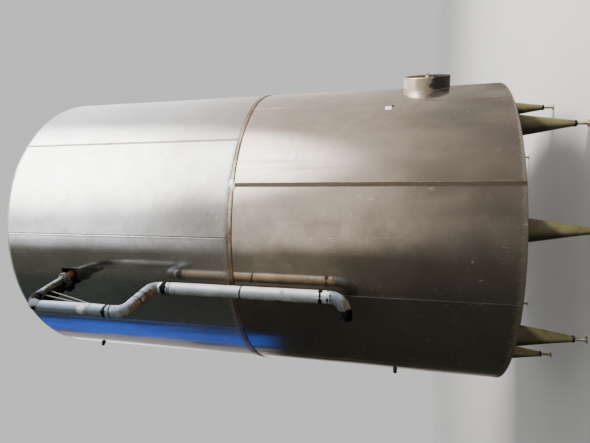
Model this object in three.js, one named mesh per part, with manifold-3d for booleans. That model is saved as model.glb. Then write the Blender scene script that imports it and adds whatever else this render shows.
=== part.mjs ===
// A vertical storage tank: a round insulated steel shell in two courses of sheets on eight tapered legs,
// with a manway low on its wall and a clad pipe that leaves it near the top and runs down its side.
// Millimetres, +Z up. The origin is on the tank's axis at ground level.
// Azimuths are degrees round the axis from +X, counter-clockwise seen from above.
import * as THREE from "three";
import { mergeVertices } from "three/addons/utils/BufferGeometryUtils.js";
import Module from "manifold-3d";

const wasm = await Module();
wasm.setup();

// Shell: sheets 1 m wide and 2.5 m high, ten round, in two courses that are laid like bricks
const SHEET_WIDTH = 1000;
const SHEET_HEIGHT = 2500;
const SHEETS_ROUND = 10;
const SHEET_ANGLE = 360 / SHEETS_ROUND;
const SHELL_RADIUS = (SHEETS_ROUND * SHEET_WIDTH) / (2 * Math.PI);
const WALL = 60;
const INNER_RADIUS = SHELL_RADIUS - WALL;
const SHELL_BOTTOM = 636;
const COURSE_GAP = 6;
const UPPER_BOTTOM = SHELL_BOTTOM + SHEET_HEIGHT + COURSE_GAP;
const SHELL_TOP = UPPER_BOTTOM + SHEET_HEIGHT;
const BAND_HEIGHT = 46;
const BAND_THICKNESS = 5;
const CLEARANCE = 0.3;
const FACET_ANGLE = 3;
const FACETS_ROUND = 360 / FACET_ANGLE;

// Roof and floor
const ROOF_RISE = 230;
const ROOF_THICKNESS = 30;
const ROOF_EDGE = 12;
const FLOOR_UNDERSIDE = 676;
const FLOOR_THICKNESS = 60;

// Legs: cones under the floor, each with a screw foot and a lock nut
const LEG_COUNT = 8;
const LEG_START = -25.5;
const LEG_CIRCLE = 1360;
const LEG_PAD_RADIUS = 150;
const LEG_PAD_HEIGHT = 8;
const CONE_TOP_RADIUS = 112;
const CONE_END_RADIUS = 26;
const CONE_END = 118;
const NUT_RADIUS = 32;
const NUT_HEIGHT = 20;
const SCREW_RADIUS = 15;
const FOOT_RADIUS = 34;
const FOOT_HEIGHT = 12;

// Manway: in the middle of a lower sheet, closed by a door inside its neck
const MANWAY_AZIMUTH = -48;
const MANWAY_HEIGHT = 1374;
const NECK_RADIUS = 231;
const NECK_WALL = 8;
const NECK_REACH = 113;
const NECK_INSET = 20;
const RIM_RADIUS = 235;
const RIM_WIDTH = 12;
const DOOR_DEPTH = 63;
const DOOR_THICKNESS = 12;
const BAR_WIDTH = 32;
const BAR_THICKNESS = 10;
const BAR_LEG = 62;
const SPINDLE_RADIUS = 14;

// Gauge stubs on the left side of the shell
const GAUGE_AZIMUTH = 171.8;
const GAUGE_HEIGHTS = { lower_gauge_stub: 1653, upper_gauge_stub: 5289 };
const GAUGE_RADIUS = 25;
const GAUGE_REACH = 52;

// Pipe, all in one upright plane: a rusty stub in a square cut-out, a level arm, an elbow, the upper run,
// an offset bend back towards the wall, the lower run, and an elbow that turns to one side
const PIPE_AZIMUTH = -135.7;
const PIPE_RADIUS = 58;
const ARM_RADIUS = 37;
const ARM_HEIGHT = 4940;
const STUB_RADIUS = 36;
const STUB_REACH = 92;
const FLANGE_RADIUS = 60;
const FLANGE_WIDTH = 28;
const CUTOUT_WIDTH = 155;
const CUTOUT_HEIGHT = 170;
const CUTOUT_DEPTH = 45;
const UPPER_RUN_OUT = 2205;
const LOWER_RUN_OUT = 1751;
const TOP_ELBOW_BEND = 190;
const TOP_ELBOW_START_RADIUS = 41;
const OFFSET_START = 4072;
const OFFSET_TOP = 3892;
const OFFSET_BOTTOM = 3878;
const OFFSET_BEND = 76;
const ELBOW_HEIGHT = 2055;
const ELBOW_HEADING = 154.5;
const ELBOW_BEND = 130;
const ELBOW_TAIL = 60;
const MOUTH_RADIUS = 48;
const MOUTH_DEPTH = 80;
const BRACE_RADIUS = 8;
const BRACES = {
  brace_rod_outer: { armOut: 1985, runHeight: 4150 },
  brace_rod_inner: { armOut: 1872, runHeight: 4170 },
};

const material = (color, roughness, metalness) =>
  new THREE.MeshStandardMaterial({ color, roughness, metalness });
const SHELL_STEEL = material(0xa3a39e, 0.28, 1);
const BAND_STEEL = material(0x6b5844, 0.7, 0.6);
const LEG_STEEL = material(0x6f6c4c, 0.6, 0.4);
const NECK_STEEL = material(0xb9b6a8, 0.35, 1);
const CLADDING = material(0xb4babd, 0.45, 0.7);
const RUST = material(0x7d3a1c, 0.9, 0.2);
const BLACKENED = material(0x1c1a17, 0.6, 0.3);

const tank = new THREE.Group();
tank.name = "vertical_storage_tank";
const up = new THREE.Vector3(0, 0, 1);
const down = new THREE.Vector3(0, 0, -1);

function heading(azimuth) {
  const angle = THREE.MathUtils.degToRad(azimuth);
  return new THREE.Vector3(Math.cos(angle), Math.sin(angle), 0);
}

function place(azimuth, radius, height) {
  return heading(azimuth).multiplyScalar(radius).setZ(height);
}

function addPiece(name, geometry, look) {
  const mesh = new THREE.Mesh(geometry, look);
  mesh.name = name;
  tank.add(mesh);
  return mesh;
}

// Booleans: a closed geometry as a solid, and back
function toSolid(geometry) {
  const plain = geometry.clone();
  plain.deleteAttribute("normal");
  plain.deleteAttribute("uv");
  const merged = mergeVertices(plain, 1e-3);
  return new wasm.Manifold(
    new wasm.Mesh({
      numProp: 3,
      vertProperties: merged.attributes.position.array,
      triVerts: new Uint32Array(merged.index.array),
    }),
  );
}

function toGeometry(solid) {
  const mesh = solid.getMesh();
  return new THREE.BufferGeometry()
    .setAttribute("position", new THREE.BufferAttribute(mesh.vertProperties, 3))
    .setIndex(new THREE.BufferAttribute(mesh.triVerts, 1));
}

// A turned body round +Z; the outline is [radius, height] pairs, anticlockwise, on the axis or closed
function turned(outline, sides) {
  const points = outline.map(([radius, height]) => new THREE.Vector2(radius, height));
  return new THREE.LatheGeometry(points, sides).rotateX(Math.PI / 2);
}

// A turned body round the level line at an azimuth, its heights being distances from the tank's axis
function turnedOutwards(outline, sides, azimuth, height) {
  return turned(outline, sides)
    .rotateY(Math.PI / 2)
    .rotateZ(THREE.MathUtils.degToRad(azimuth))
    .translate(0, 0, height);
}

function box(size, azimuth, radius, height) {
  return new THREE.BoxGeometry(...size)
    .rotateZ(THREE.MathUtils.degToRad(azimuth))
    .translate(...place(azimuth, radius, height).toArray());
}

// A round bar from one point to another
function roundBar(from, to, radius, sides = 20) {
  const length = from.distanceTo(to);
  const turn = new THREE.Quaternion().setFromUnitVectors(
    new THREE.Vector3(0, 1, 0),
    to.clone().sub(from).normalize(),
  );
  const middle = from.clone().add(to).multiplyScalar(0.5);
  return new THREE.CylinderGeometry(radius, radius, length, sides)
    .applyQuaternion(turn)
    .translate(...middle.toArray());
}

// A pipe bend: an arc that touches two straight lines which meet at a corner
class Bend extends THREE.Curve {
  constructor(corner, before, after, radius) {
    super();
    this.angle = before.angleTo(after);
    this.reach = radius * Math.tan(this.angle / 2);
    this.radius = radius;
    this.before = before;
    this.side = after.clone().addScaledVector(before, -before.dot(after)).normalize();
    this.start = corner.clone().addScaledVector(before, -this.reach);
    this.end = corner.clone().addScaledVector(after, this.reach);
  }

  getPoint(t, target = new THREE.Vector3()) {
    const angle = this.angle * t;
    return target
      .copy(this.start)
      .addScaledVector(this.side, this.radius * (1 - Math.cos(angle)))
      .addScaledVector(this.before, this.radius * Math.sin(angle));
  }
}

function sweep(path, radius, steps, sides = 20) {
  const section = new THREE.Shape().absarc(0, 0, radius, 0, 2 * Math.PI, false);
  return new THREE.ExtrudeGeometry(section, {
    extrudePath: path,
    steps,
    curveSegments: sides / 2,
    bevelEnabled: false,
  });
}

// A swept bend whose section grows along it, from a share of its full size up to the full size
function widened(geometry, bend, startShare) {
  const centre = bend.start.clone().addScaledVector(bend.side, bend.radius);
  const positions = geometry.getAttribute("position");
  const point = new THREE.Vector3();
  for (let index = 0; index < positions.count; index += 1) {
    point.fromBufferAttribute(positions, index);
    const spoke = point.clone().sub(centre);
    const angle = Math.atan2(spoke.dot(bend.before), -spoke.dot(bend.side));
    const middle = bend.getPoint(angle / bend.angle);
    const share = THREE.MathUtils.lerp(startShare, 1, Math.sin(angle));
    point.sub(middle).multiplyScalar(share).add(middle);
    positions.setXYZ(index, point.x, point.y, point.z);
  }
  return geometry;
}

function pathOf(...curves) {
  const path = new THREE.CurvePath();
  curves.forEach((curve) => path.add(curve));
  return path;
}

// Shell sheets: arcs of the insulated wall, a hair apart at their upright seams
function sheet(azimuth, bottom) {
  const half = SHEET_ANGLE / 2 - THREE.MathUtils.radToDeg(CLEARANCE / 2 / SHELL_RADIUS);
  const from = THREE.MathUtils.degToRad(azimuth - half);
  const to = THREE.MathUtils.degToRad(azimuth + half);
  const section = new THREE.Shape()
    .absarc(0, 0, SHELL_RADIUS, from, to, false)
    .absarc(0, 0, INNER_RADIUS, to, from, true);
  return new THREE.ExtrudeGeometry(section, {
    depth: SHEET_HEIGHT,
    curveSegments: SHEET_ANGLE / FACET_ANGLE / 2,
    bevelEnabled: false,
  }).translate(0, 0, bottom);
}

function addShell() {
  const manwayHole = turnedOutwards(
    [
      [0, INNER_RADIUS - WALL],
      [NECK_RADIUS + CLEARANCE, INNER_RADIUS - WALL],
      [NECK_RADIUS + CLEARANCE, SHELL_RADIUS + WALL],
      [0, SHELL_RADIUS + WALL],
    ],
    48,
    MANWAY_AZIMUTH,
    MANWAY_HEIGHT,
  );
  const cutoutSize = [2 * CUTOUT_DEPTH, CUTOUT_WIDTH, CUTOUT_HEIGHT];
  const cutout = box(cutoutSize, PIPE_AZIMUTH, SHELL_RADIUS, ARM_HEIGHT);
  const outletSheet = Math.floor((PIPE_AZIMUTH - MANWAY_AZIMUTH + 360) / SHEET_ANGLE);
  for (let i = 0; i < SHEETS_ROUND; i++) {
    const number = String(i + 1).padStart(2, "0");
    const lower = sheet(MANWAY_AZIMUTH + i * SHEET_ANGLE, SHELL_BOTTOM);
    const upper = sheet(MANWAY_AZIMUTH + (i + 0.5) * SHEET_ANGLE, UPPER_BOTTOM);
    const lowerCut = i === 0 ? toGeometry(toSolid(lower).subtract(toSolid(manwayHole))) : lower;
    const upperCut = i === outletSheet ? toGeometry(toSolid(upper).subtract(toSolid(cutout))) : upper;
    addPiece("lower_sheet_" + number, lowerCut, SHELL_STEEL);
    addPiece("upper_sheet_" + number, upperCut, SHELL_STEEL);
  }
}

// The band round the joint between the two courses
function addGirthBand() {
  const middle = UPPER_BOTTOM - COURSE_GAP / 2;
  const inside = SHELL_RADIUS + CLEARANCE;
  const band = turned(
    [
      [inside, middle - BAND_HEIGHT / 2],
      [inside + BAND_THICKNESS, middle - BAND_HEIGHT / 2],
      [inside + BAND_THICKNESS, middle + BAND_HEIGHT / 2],
      [inside, middle + BAND_HEIGHT / 2],
      [inside, middle - BAND_HEIGHT / 2],
    ],
    FACETS_ROUND,
  );
  addPiece("girth_band", band, BAND_STEEL);
}

// A low cone that rests on the top of the wall
function addRoof() {
  const seat = SHELL_TOP + CLEARANCE;
  const roof = turned(
    [
      [0, seat + ROOF_RISE],
      [INNER_RADIUS, seat],
      [SHELL_RADIUS, seat],
      [SHELL_RADIUS, seat + ROOF_EDGE],
      [0, seat + ROOF_RISE + ROOF_THICKNESS],
    ],
    FACETS_ROUND,
  );
  addPiece("roof_cone", roof, SHELL_STEEL);
}

function addFloor() {
  const edge = INNER_RADIUS - CLEARANCE;
  const floor = turned(
    [
      [0, FLOOR_UNDERSIDE],
      [edge, FLOOR_UNDERSIDE],
      [edge, FLOOR_UNDERSIDE + FLOOR_THICKNESS],
      [0, FLOOR_UNDERSIDE + FLOOR_THICKNESS],
    ],
    FACETS_ROUND,
  );
  addPiece("tank_floor", floor, SHELL_STEEL);
}

// One leg: foot, screw, lock nut, cone and the round pad under the floor, turned as one piece
function legGeometry() {
  const top = FLOOR_UNDERSIDE - CLEARANCE;
  return turned(
    [
      [0, 0],
      [FOOT_RADIUS, 0],
      [FOOT_RADIUS, FOOT_HEIGHT / 2],
      [SCREW_RADIUS, FOOT_HEIGHT],
      [SCREW_RADIUS, CONE_END - NUT_HEIGHT],
      [NUT_RADIUS, CONE_END - NUT_HEIGHT],
      [NUT_RADIUS, CONE_END],
      [CONE_END_RADIUS, CONE_END],
      [CONE_TOP_RADIUS, top - LEG_PAD_HEIGHT],
      [LEG_PAD_RADIUS, top - LEG_PAD_HEIGHT],
      [LEG_PAD_RADIUS, top],
      [0, top],
    ],
    24,
  );
}

function addLegs() {
  for (let i = 0; i < LEG_COUNT; i++) {
    const leg = addPiece("leg_" + (i + 1), legGeometry(), LEG_STEEL);
    leg.position.copy(place(LEG_START + (i * 360) / LEG_COUNT, LEG_CIRCLE, 0));
  }
}

// Manway neck through the wall, its door, and the strap bar whose spindle holds the door shut
function addManway() {
  const inside = INNER_RADIUS - NECK_INSET;
  const mouth = SHELL_RADIUS + NECK_REACH;
  const bore = NECK_RADIUS - NECK_WALL;
  const doorFace = SHELL_RADIUS - DOOR_DEPTH;
  const neck = [
    [bore, inside],
    [NECK_RADIUS, inside],
    [NECK_RADIUS, mouth - RIM_WIDTH],
    [RIM_RADIUS, mouth - RIM_WIDTH],
    [RIM_RADIUS, mouth],
    [bore, mouth],
    [bore, inside],
  ];
  const door = [
    [0, doorFace - DOOR_THICKNESS],
    [bore - CLEARANCE, doorFace - DOOR_THICKNESS],
    [bore - CLEARANCE, doorFace],
    [0, doorFace],
  ];
  const spindle = [
    [0, doorFace + CLEARANCE],
    [SPINDLE_RADIUS, doorFace + CLEARANCE],
    [SPINDLE_RADIUS, mouth + BAR_THICKNESS / 2],
    [0, mouth + BAR_THICKNESS / 2],
  ];
  const under = mouth + CLEARANCE;
  const halfSpan = RIM_RADIUS + CLEARANCE;
  const strap = new THREE.Shape([
    new THREE.Vector2(under - BAR_LEG, halfSpan),
    new THREE.Vector2(under, halfSpan),
    new THREE.Vector2(under, -halfSpan),
    new THREE.Vector2(under - BAR_LEG, -halfSpan),
    new THREE.Vector2(under - BAR_LEG, -halfSpan - BAR_THICKNESS),
    new THREE.Vector2(under + BAR_THICKNESS, -halfSpan - BAR_THICKNESS),
    new THREE.Vector2(under + BAR_THICKNESS, halfSpan + BAR_THICKNESS),
    new THREE.Vector2(under - BAR_LEG, halfSpan + BAR_THICKNESS),
  ]);
  const bar = new THREE.ExtrudeGeometry(strap, { depth: BAR_WIDTH, bevelEnabled: false })
    .rotateZ(THREE.MathUtils.degToRad(MANWAY_AZIMUTH))
    .translate(0, 0, MANWAY_HEIGHT - BAR_WIDTH / 2);
  const rod = turnedOutwards(spindle, 16, MANWAY_AZIMUTH, MANWAY_HEIGHT);
  const outwards = (outline) => turnedOutwards(outline, 48, MANWAY_AZIMUTH, MANWAY_HEIGHT);
  addPiece("manway_neck", outwards(neck), NECK_STEEL);
  addPiece("manway_door", outwards(door), SHELL_STEEL);
  addPiece("manway_bar", toGeometry(toSolid(bar).add(toSolid(rod))), LEG_STEEL);
}

function addGaugeStubs() {
  const seat = SHELL_RADIUS + CLEARANCE;
  const outline = [
    [0, seat],
    [GAUGE_RADIUS, seat],
    [GAUGE_RADIUS, seat + 0.7 * GAUGE_REACH],
    [0.6 * GAUGE_RADIUS, seat + GAUGE_REACH],
    [0, seat + GAUGE_REACH],
  ];
  for (const [name, height] of Object.entries(GAUGE_HEIGHTS)) {
    addPiece(name, turnedOutwards(outline, 20, GAUGE_AZIMUTH, height), BLACKENED);
  }
}

// The stub stands on the back of the cut-out and ends in a flange, which the arm meets
function addOutlet() {
  const back = SHELL_RADIUS - CUTOUT_DEPTH + CLEARANCE;
  const front = SHELL_RADIUS + STUB_REACH;
  const stub = [
    [0, back],
    [STUB_RADIUS, back],
    [STUB_RADIUS, front - FLANGE_WIDTH],
    [FLANGE_RADIUS, front - FLANGE_WIDTH],
    [FLANGE_RADIUS, front],
    [0, front],
  ];
  const armEnd = UPPER_RUN_OUT - TOP_ELBOW_BEND - CLEARANCE;
  const arm = [
    [0, front + CLEARANCE],
    [ARM_RADIUS, front + CLEARANCE],
    [ARM_RADIUS, armEnd],
    [0, armEnd],
  ];
  addPiece("outlet_stub", turnedOutwards(stub, 20, PIPE_AZIMUTH, ARM_HEIGHT), RUST);
  addPiece("pipe_arm", turnedOutwards(arm, 20, PIPE_AZIMUTH, ARM_HEIGHT), CLADDING);
}

function addPipe() {
  const at = (out, height) => place(PIPE_AZIMUTH, out, height);
  const along = (point, way, distance) => point.clone().addScaledVector(way, distance);
  const outwards = heading(PIPE_AZIMUTH);
  const sideways = heading(ELBOW_HEADING);
  const offsetTop = at(UPPER_RUN_OUT, OFFSET_TOP);
  const offsetBottom = at(LOWER_RUN_OUT, OFFSET_BOTTOM);
  const offsetWay = offsetBottom.clone().sub(offsetTop).normalize();

  const topBend = new Bend(at(UPPER_RUN_OUT, ARM_HEIGHT), outwards, down, TOP_ELBOW_BEND);
  const offsetFirst = new Bend(offsetTop, down, offsetWay, OFFSET_BEND);
  const offsetSecond = new Bend(offsetBottom, offsetWay, down, OFFSET_BEND);
  const lastBend = new Bend(at(LOWER_RUN_OUT, ELBOW_HEIGHT), down, sideways, ELBOW_BEND);

  const startShare = TOP_ELBOW_START_RADIUS / PIPE_RADIUS;
  addPiece("pipe_top_elbow", widened(sweep(topBend, PIPE_RADIUS, 12), topBend, startShare), CLADDING);

  const upperStart = along(topBend.end, down, CLEARANCE);
  const upperStop = at(UPPER_RUN_OUT, OFFSET_START + CLEARANCE);
  addPiece("pipe_upper_run", roundBar(upperStart, upperStop, PIPE_RADIUS), CLADDING);

  const drop = new THREE.LineCurve3(at(UPPER_RUN_OUT, OFFSET_START), offsetFirst.start);
  const slope = new THREE.LineCurve3(offsetFirst.end, offsetSecond.start);
  const offsetPath = pathOf(drop, offsetFirst, slope, offsetSecond);
  addPiece("pipe_offset_bend", sweep(offsetPath, PIPE_RADIUS, 22), CLADDING);

  const lowerStart = along(offsetSecond.end, down, CLEARANCE);
  const lowerStop = along(lastBend.start, up, CLEARANCE);
  addPiece("pipe_lower_run", roundBar(lowerStart, lowerStop, PIPE_RADIUS), CLADDING);

  // The last elbow's tail is open where the next pipe would join it
  const tailEnd = along(lastBend.end, sideways, ELBOW_TAIL);
  const lastPath = pathOf(lastBend, new THREE.LineCurve3(lastBend.end, tailEnd));
  const mouthEnd = along(tailEnd, sideways, -MOUTH_DEPTH);
  const mouth = roundBar(mouthEnd, along(tailEnd, sideways, WALL), MOUTH_RADIUS);
  const lastElbow = toSolid(sweep(lastPath, PIPE_RADIUS, 14)).subtract(toSolid(mouth));
  addPiece("pipe_last_elbow", toGeometry(lastElbow), CLADDING);
}

// Brace rods between the arm and the upper run, trimmed a hair short of both
function addBraces() {
  const at = (out, height) => place(PIPE_AZIMUTH, out, height);
  const grown = (from, to, radius) => toSolid(roundBar(from, to, radius + CLEARANCE));
  const arm = grown(at(SHELL_RADIUS, ARM_HEIGHT), at(UPPER_RUN_OUT, ARM_HEIGHT), ARM_RADIUS);
  const run = grown(at(UPPER_RUN_OUT, ARM_HEIGHT), at(UPPER_RUN_OUT, OFFSET_TOP), PIPE_RADIUS);
  for (const [name, { armOut, runHeight }] of Object.entries(BRACES)) {
    const rod = toSolid(roundBar(at(armOut, ARM_HEIGHT), at(UPPER_RUN_OUT, runHeight), BRACE_RADIUS, 12));
    addPiece(name, toGeometry(rod.subtract(arm).subtract(run)), CLADDING);
  }
}

addShell();
addGirthBand();
addRoof();
addFloor();
addLegs();
addManway();
addGaugeStubs();
addOutlet();
addPipe();
addBraces();

export default tank;
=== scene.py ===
# %% [markdown]
# # A vertical storage tank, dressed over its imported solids
# The tank is a round insulated vessel of stainless sheet. Ten sheets go round, in two courses, on
# eight tapered legs. It has a manway low on the wall, and a clad pipe that leaves near the top.
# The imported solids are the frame: they say where each piece is, in metres, with +Z up and the
# tank's axis at x = y = 0. This script builds each piece again with the detail of the real one:
# hems, seams, welds, threads, dents, dirt and rust. Each new piece stands for its solid.

# %% Load the frame
import math

import bmesh
import bpy
import numpy as np
from mathutils import Matrix


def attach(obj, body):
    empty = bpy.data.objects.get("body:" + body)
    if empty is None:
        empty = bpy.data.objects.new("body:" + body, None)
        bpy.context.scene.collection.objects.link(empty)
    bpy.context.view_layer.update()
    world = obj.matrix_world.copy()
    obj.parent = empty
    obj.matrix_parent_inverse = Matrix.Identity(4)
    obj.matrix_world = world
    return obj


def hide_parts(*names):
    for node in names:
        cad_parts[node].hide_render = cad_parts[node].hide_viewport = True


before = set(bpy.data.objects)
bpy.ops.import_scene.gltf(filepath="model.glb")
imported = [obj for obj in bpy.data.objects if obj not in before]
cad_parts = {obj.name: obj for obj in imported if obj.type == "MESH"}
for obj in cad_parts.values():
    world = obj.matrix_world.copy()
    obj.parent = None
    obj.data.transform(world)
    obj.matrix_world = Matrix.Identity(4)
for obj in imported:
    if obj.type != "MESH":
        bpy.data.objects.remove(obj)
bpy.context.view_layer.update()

# %% [markdown]
# ## Directions round the tank
# Nearly every piece is placed by an azimuth, a distance from the axis and a height, so these
# helpers are used all the way down. They take whole arrays, so that a surface is one sum.

# %% Azimuth helpers
def level(azimuth):
    """The level unit vector at an azimuth in degrees: (cosine, sine, 0)."""
    turn = np.radians(azimuth)
    return np.stack([np.cos(turn), np.sin(turn), np.zeros_like(turn)], -1)


def on_tank(azimuth, radius, height):
    """Points at (radius cos azimuth, radius sin azimuth, height), for arrays that match."""
    azimuth, radius, height = np.broadcast_arrays(azimuth, radius, height)
    turn = np.radians(azimuth)
    return np.stack([radius * np.cos(turn), radius * np.sin(turn), height], -1)


def unit(vector):
    """The vector divided by its length."""
    return np.asarray(vector, float) / np.linalg.norm(vector)


def full_turn(count):
    """Even steps round a circle, from 0 to just short of 2 pi."""
    return np.linspace(0, 2 * math.pi, count, endpoint=False)


UP = (0, 0, 1)
DOWN = np.array([0, 0, -1.0])
print("east is", level(0.0), "north is", level(90.0))

# %% [markdown]
# ## Camera
# The picture was taken from eye height, 5.35 m from the axis, looking up by 14 degrees, and it
# lies on its side: the tank's top is at the left. A pinhole camera was fitted to the tank's
# outline. Its own axes are worked out from three angles, and then turned by a quarter.

# %% The camera at the photograph's place
EYE = (-2.3045, -4.8315, 1.5856)
LOOK_AZIMUTH = 63.89
LOOK_PITCH = 13.92
LOOK_ROLL = 0.844
FOCAL_PIXELS = 438.05
PICTURE_WIDTH = 590
SENSOR_MM = 36.0

pitch = math.radians(LOOK_PITCH)
roll = math.radians(LOOK_ROLL)
forward = level(LOOK_AZIMUTH) * math.cos(pitch) + np.array([0, 0, math.sin(pitch)])
right = level(LOOK_AZIMUTH - 90)
above = np.cross(right, forward)
tilted_right = math.cos(roll) * right + math.sin(roll) * above
tilted_above = -math.sin(roll) * right + math.cos(roll) * above

camera = bpy.data.objects.new("camera", bpy.data.cameras.new("camera"))
camera.data.lens = FOCAL_PIXELS * SENSOR_MM / PICTURE_WIDTH
camera.data.sensor_width = SENSOR_MM
camera.data.clip_end = 200
axes = Matrix(np.stack([-tilted_above, tilted_right, -forward], 1).tolist()).to_4x4()
camera.matrix_world = Matrix.Translation(EYE) @ axes
bpy.context.scene.collection.objects.link(camera)
bpy.context.scene.camera = camera
print("lens:", round(camera.data.lens, 2), "mm")

# %% [markdown]
# ## Wiring for materials
# A material is a tree of nodes. Writing each node and link out by hand takes ten lines, so this
# small class adds a node, feeds its sockets and hands back its outputs, which can be added and
# multiplied like numbers. What is fed in may be a number, a colour or another node's output: a
# colour of three numbers is a screen colour, 0 to 255, and one of four is linear light. The
# material then reads like a recipe.

# %% The wiring class
def paint(red, green, blue):
    """A screen colour, 0 to 255 a channel, as the linear colour that a shader needs."""
    share = np.array([red, green, blue]) / 255
    linear = np.where(share <= 0.04045, share / 12.92, ((share + 0.055) / 1.055) ** 2.4)
    return (*linear.tolist(), 1.0)


class Value:
    """One output of a node. It can be added, taken away, multiplied and divided like a number."""

    def __init__(self, wiring, socket):
        self.wiring, self.socket = wiring, socket

    def __add__(self, other):
        return self.wiring.math("ADD", self, other)

    def __sub__(self, other):
        return self.wiring.math("SUBTRACT", self, other)

    def __rsub__(self, other):
        return self.wiring.math("SUBTRACT", other, self)

    def __mul__(self, other):
        return self.wiring.math("MULTIPLY", self, other)

    def __truediv__(self, other):
        return self.wiring.math("DIVIDE", self, other)

    def __rtruediv__(self, other):
        return self.wiring.math("DIVIDE", other, self)

    __radd__, __rmul__ = __add__, __mul__


class Wiring:
    """Adds nodes to one tree and joins them."""

    def __init__(self, tree):
        self.tree = tree

    def node(self, kind, feeds=None, **settings):
        """Makes a node, then its settings, then feeds its sockets; gives its outputs by number and name."""
        made = self.tree.nodes.new(kind)
        for name, value in settings.items():
            setattr(made, name, value)
        for socket, value in (feeds or {}).items():
            self.feed(made.inputs[socket], value)
        outputs = enumerate(made.outputs)
        return {key: Value(self, socket) for number, socket in outputs for key in (number, socket.name)}

    def feed(self, socket, value):
        """Links an output, or sets a value; a colour of three numbers is a screen colour."""
        if isinstance(value, Value):
            self.tree.links.new(value.socket, socket)
        elif socket.type == "RGBA" and len(value) == 3:
            socket.default_value = paint(*value)
        else:
            socket.default_value = value

    def math(self, operation, first, second=0.0, clamp=False):
        """One sum of two numbers or outputs, kept between 0 and 1 if it is clamped."""
        return self.node("ShaderNodeMath", {0: first, 1: second}, operation=operation, use_clamp=clamp)[0]

    def vector(self, operation, first, second=(0.0, 0.0, 0.0)):
        """The same for vectors; a length, a distance and a dot product come out as one number."""
        made = self.node("ShaderNodeVectorMath", {0: first, 1: second}, operation=operation)
        return made["Value" if operation in ("LENGTH", "DISTANCE", "DOT_PRODUCT") else "Vector"]

    def total(self, *masks):
        """The masks added up, kept to 1."""
        whole = masks[0]
        for mask in masks[1:]:
            whole = self.math("ADD", whole, mask, clamp=True)
        return whole

    def fade(self, value, start, stop, low=0.0, high=1.0):
        """A smooth step from low at start to high at stop."""
        feeds = {"Value": value, "From Min": start, "From Max": stop, "To Min": low, "To Max": high}
        return self.node("ShaderNodeMapRange", feeds, interpolation_type="SMOOTHSTEP")["Result"]

    def blend(self, share, first, second):
        """The first colour where the share is 0, the second where it is 1."""
        return self.node("ShaderNodeMix", {0: share, 6: first, 7: second}, data_type="RGBA")[2]

    def noise(self, place, scale, detail=3.0, distortion=0.0, roughness=0.5):
        """Soft noise from 0 to 1, about `scale` lumps to the metre, with `detail` finer layers on it."""
        feeds = {"Vector": place, "Scale": scale, "Detail": detail}
        return self.node("ShaderNodeTexNoise", feeds | {"Roughness": roughness, "Distortion": distortion})[0]

    def place(self):
        """Object coordinates: where a spot is, in metres."""
        return self.node("ShaderNodeTexCoord")["Object"]

    def height(self):
        """How high a spot is, in metres."""
        return self.node("ShaderNodeSeparateXYZ", {0: self.place()})[2]


print("mid grey is", [round(c, 3) for c in paint(128, 128, 128)])

# %% [markdown]
# ## Effects that several finishes share
# Grain, dirt runs, specks, scrapes, tarnish, green growth, rust and a stain at one spot each turn
# up on several pieces. Each is a node group, made once. It puts out a mask or a height, and the
# material decides what to do with it, at its own size and strength.

# %% Node groups
def shared_effect(name, knobs, results):
    """An empty group with its named sockets; a knob's kind follows from its start value."""
    tree = bpy.data.node_groups.new(name, "ShaderNodeTree")
    for knob, value in knobs.items():
        kind = "NodeSocketVector" if isinstance(value, tuple) else "NodeSocketFloat"
        socket = tree.interface.new_socket(knob, in_out="INPUT", socket_type=kind)
        socket.default_value = value
    for result in results:
        kind = "NodeSocketColor" if result.endswith("Colour") else "NodeSocketFloat"
        tree.interface.new_socket(result, in_out="OUTPUT", socket_type=kind)
    wiring = Wiring(tree)
    return tree, wiring, wiring.node("NodeGroupInput"), tree.nodes.new("NodeGroupOutput").inputs


def stretched_place(wiring, across, along):
    """Object coordinates times (across, across, along): a small `along` draws a pattern out upright."""
    scale = wiring.node("ShaderNodeCombineXYZ", {0: across, 1: across, 2: along})[0]
    return wiring.vector("MULTIPLY", wiring.place(), scale)


# Rolled grain: fine noise drawn out upright, as the mill leaves it on sheet
rolled_grain, g, knob, result = shared_effect("rolled_grain", {"Fineness": 90.0, "Stretch": 40.0}, ["Grain"])
drawn = knob["Fineness"] / knob["Stretch"]
g.feed(result["Grain"], g.noise(stretched_place(g, knob["Fineness"], drawn), 1.0, 4.0))

# Dirt runs: upright streaks that start at a height and thin out below it
dirt_runs, g, knob, result = shared_effect(
    "dirt_runs", {"Top": 1.0, "Length": 1.0, "Coverage": 0.4, "Fineness": 14.0}, ["Dirt"]
)
streaks = g.noise(stretched_place(g, knob["Fineness"], 0.7), 1.0, 5.0, 0.2, 0.6)
gate = 0.78 - knob["Coverage"] * 0.5
streaked = g.fade(streaks, gate, gate + 0.22)
height = g.height()
fallen = (knob["Top"] - height) / knob["Length"]
under = g.fade(fallen, 0.0, 0.02) * g.fade(fallen, 1.0, 0.15)
g.feed(result["Dirt"], streaked * under)

# Specks: small round splashes, each cell of a pattern showing one or none
specks, g, knob, result = shared_effect("specks", {"Size": 0.02, "Amount": 0.2}, ["Specks"])
cells = g.node("ShaderNodeTexVoronoi", {"Vector": g.place(), "Scale": 1.0 / knob["Size"]})
chance = g.node("ShaderNodeSeparateColor", {0: cells["Color"]})
shown = g.math("LESS_THAN", chance[0], knob["Amount"])
reach = chance[1] * 0.3
round_spot = g.fade(cells["Distance"], reach, reach * 0.4)
g.feed(result["Specks"], shown * round_spot)

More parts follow.
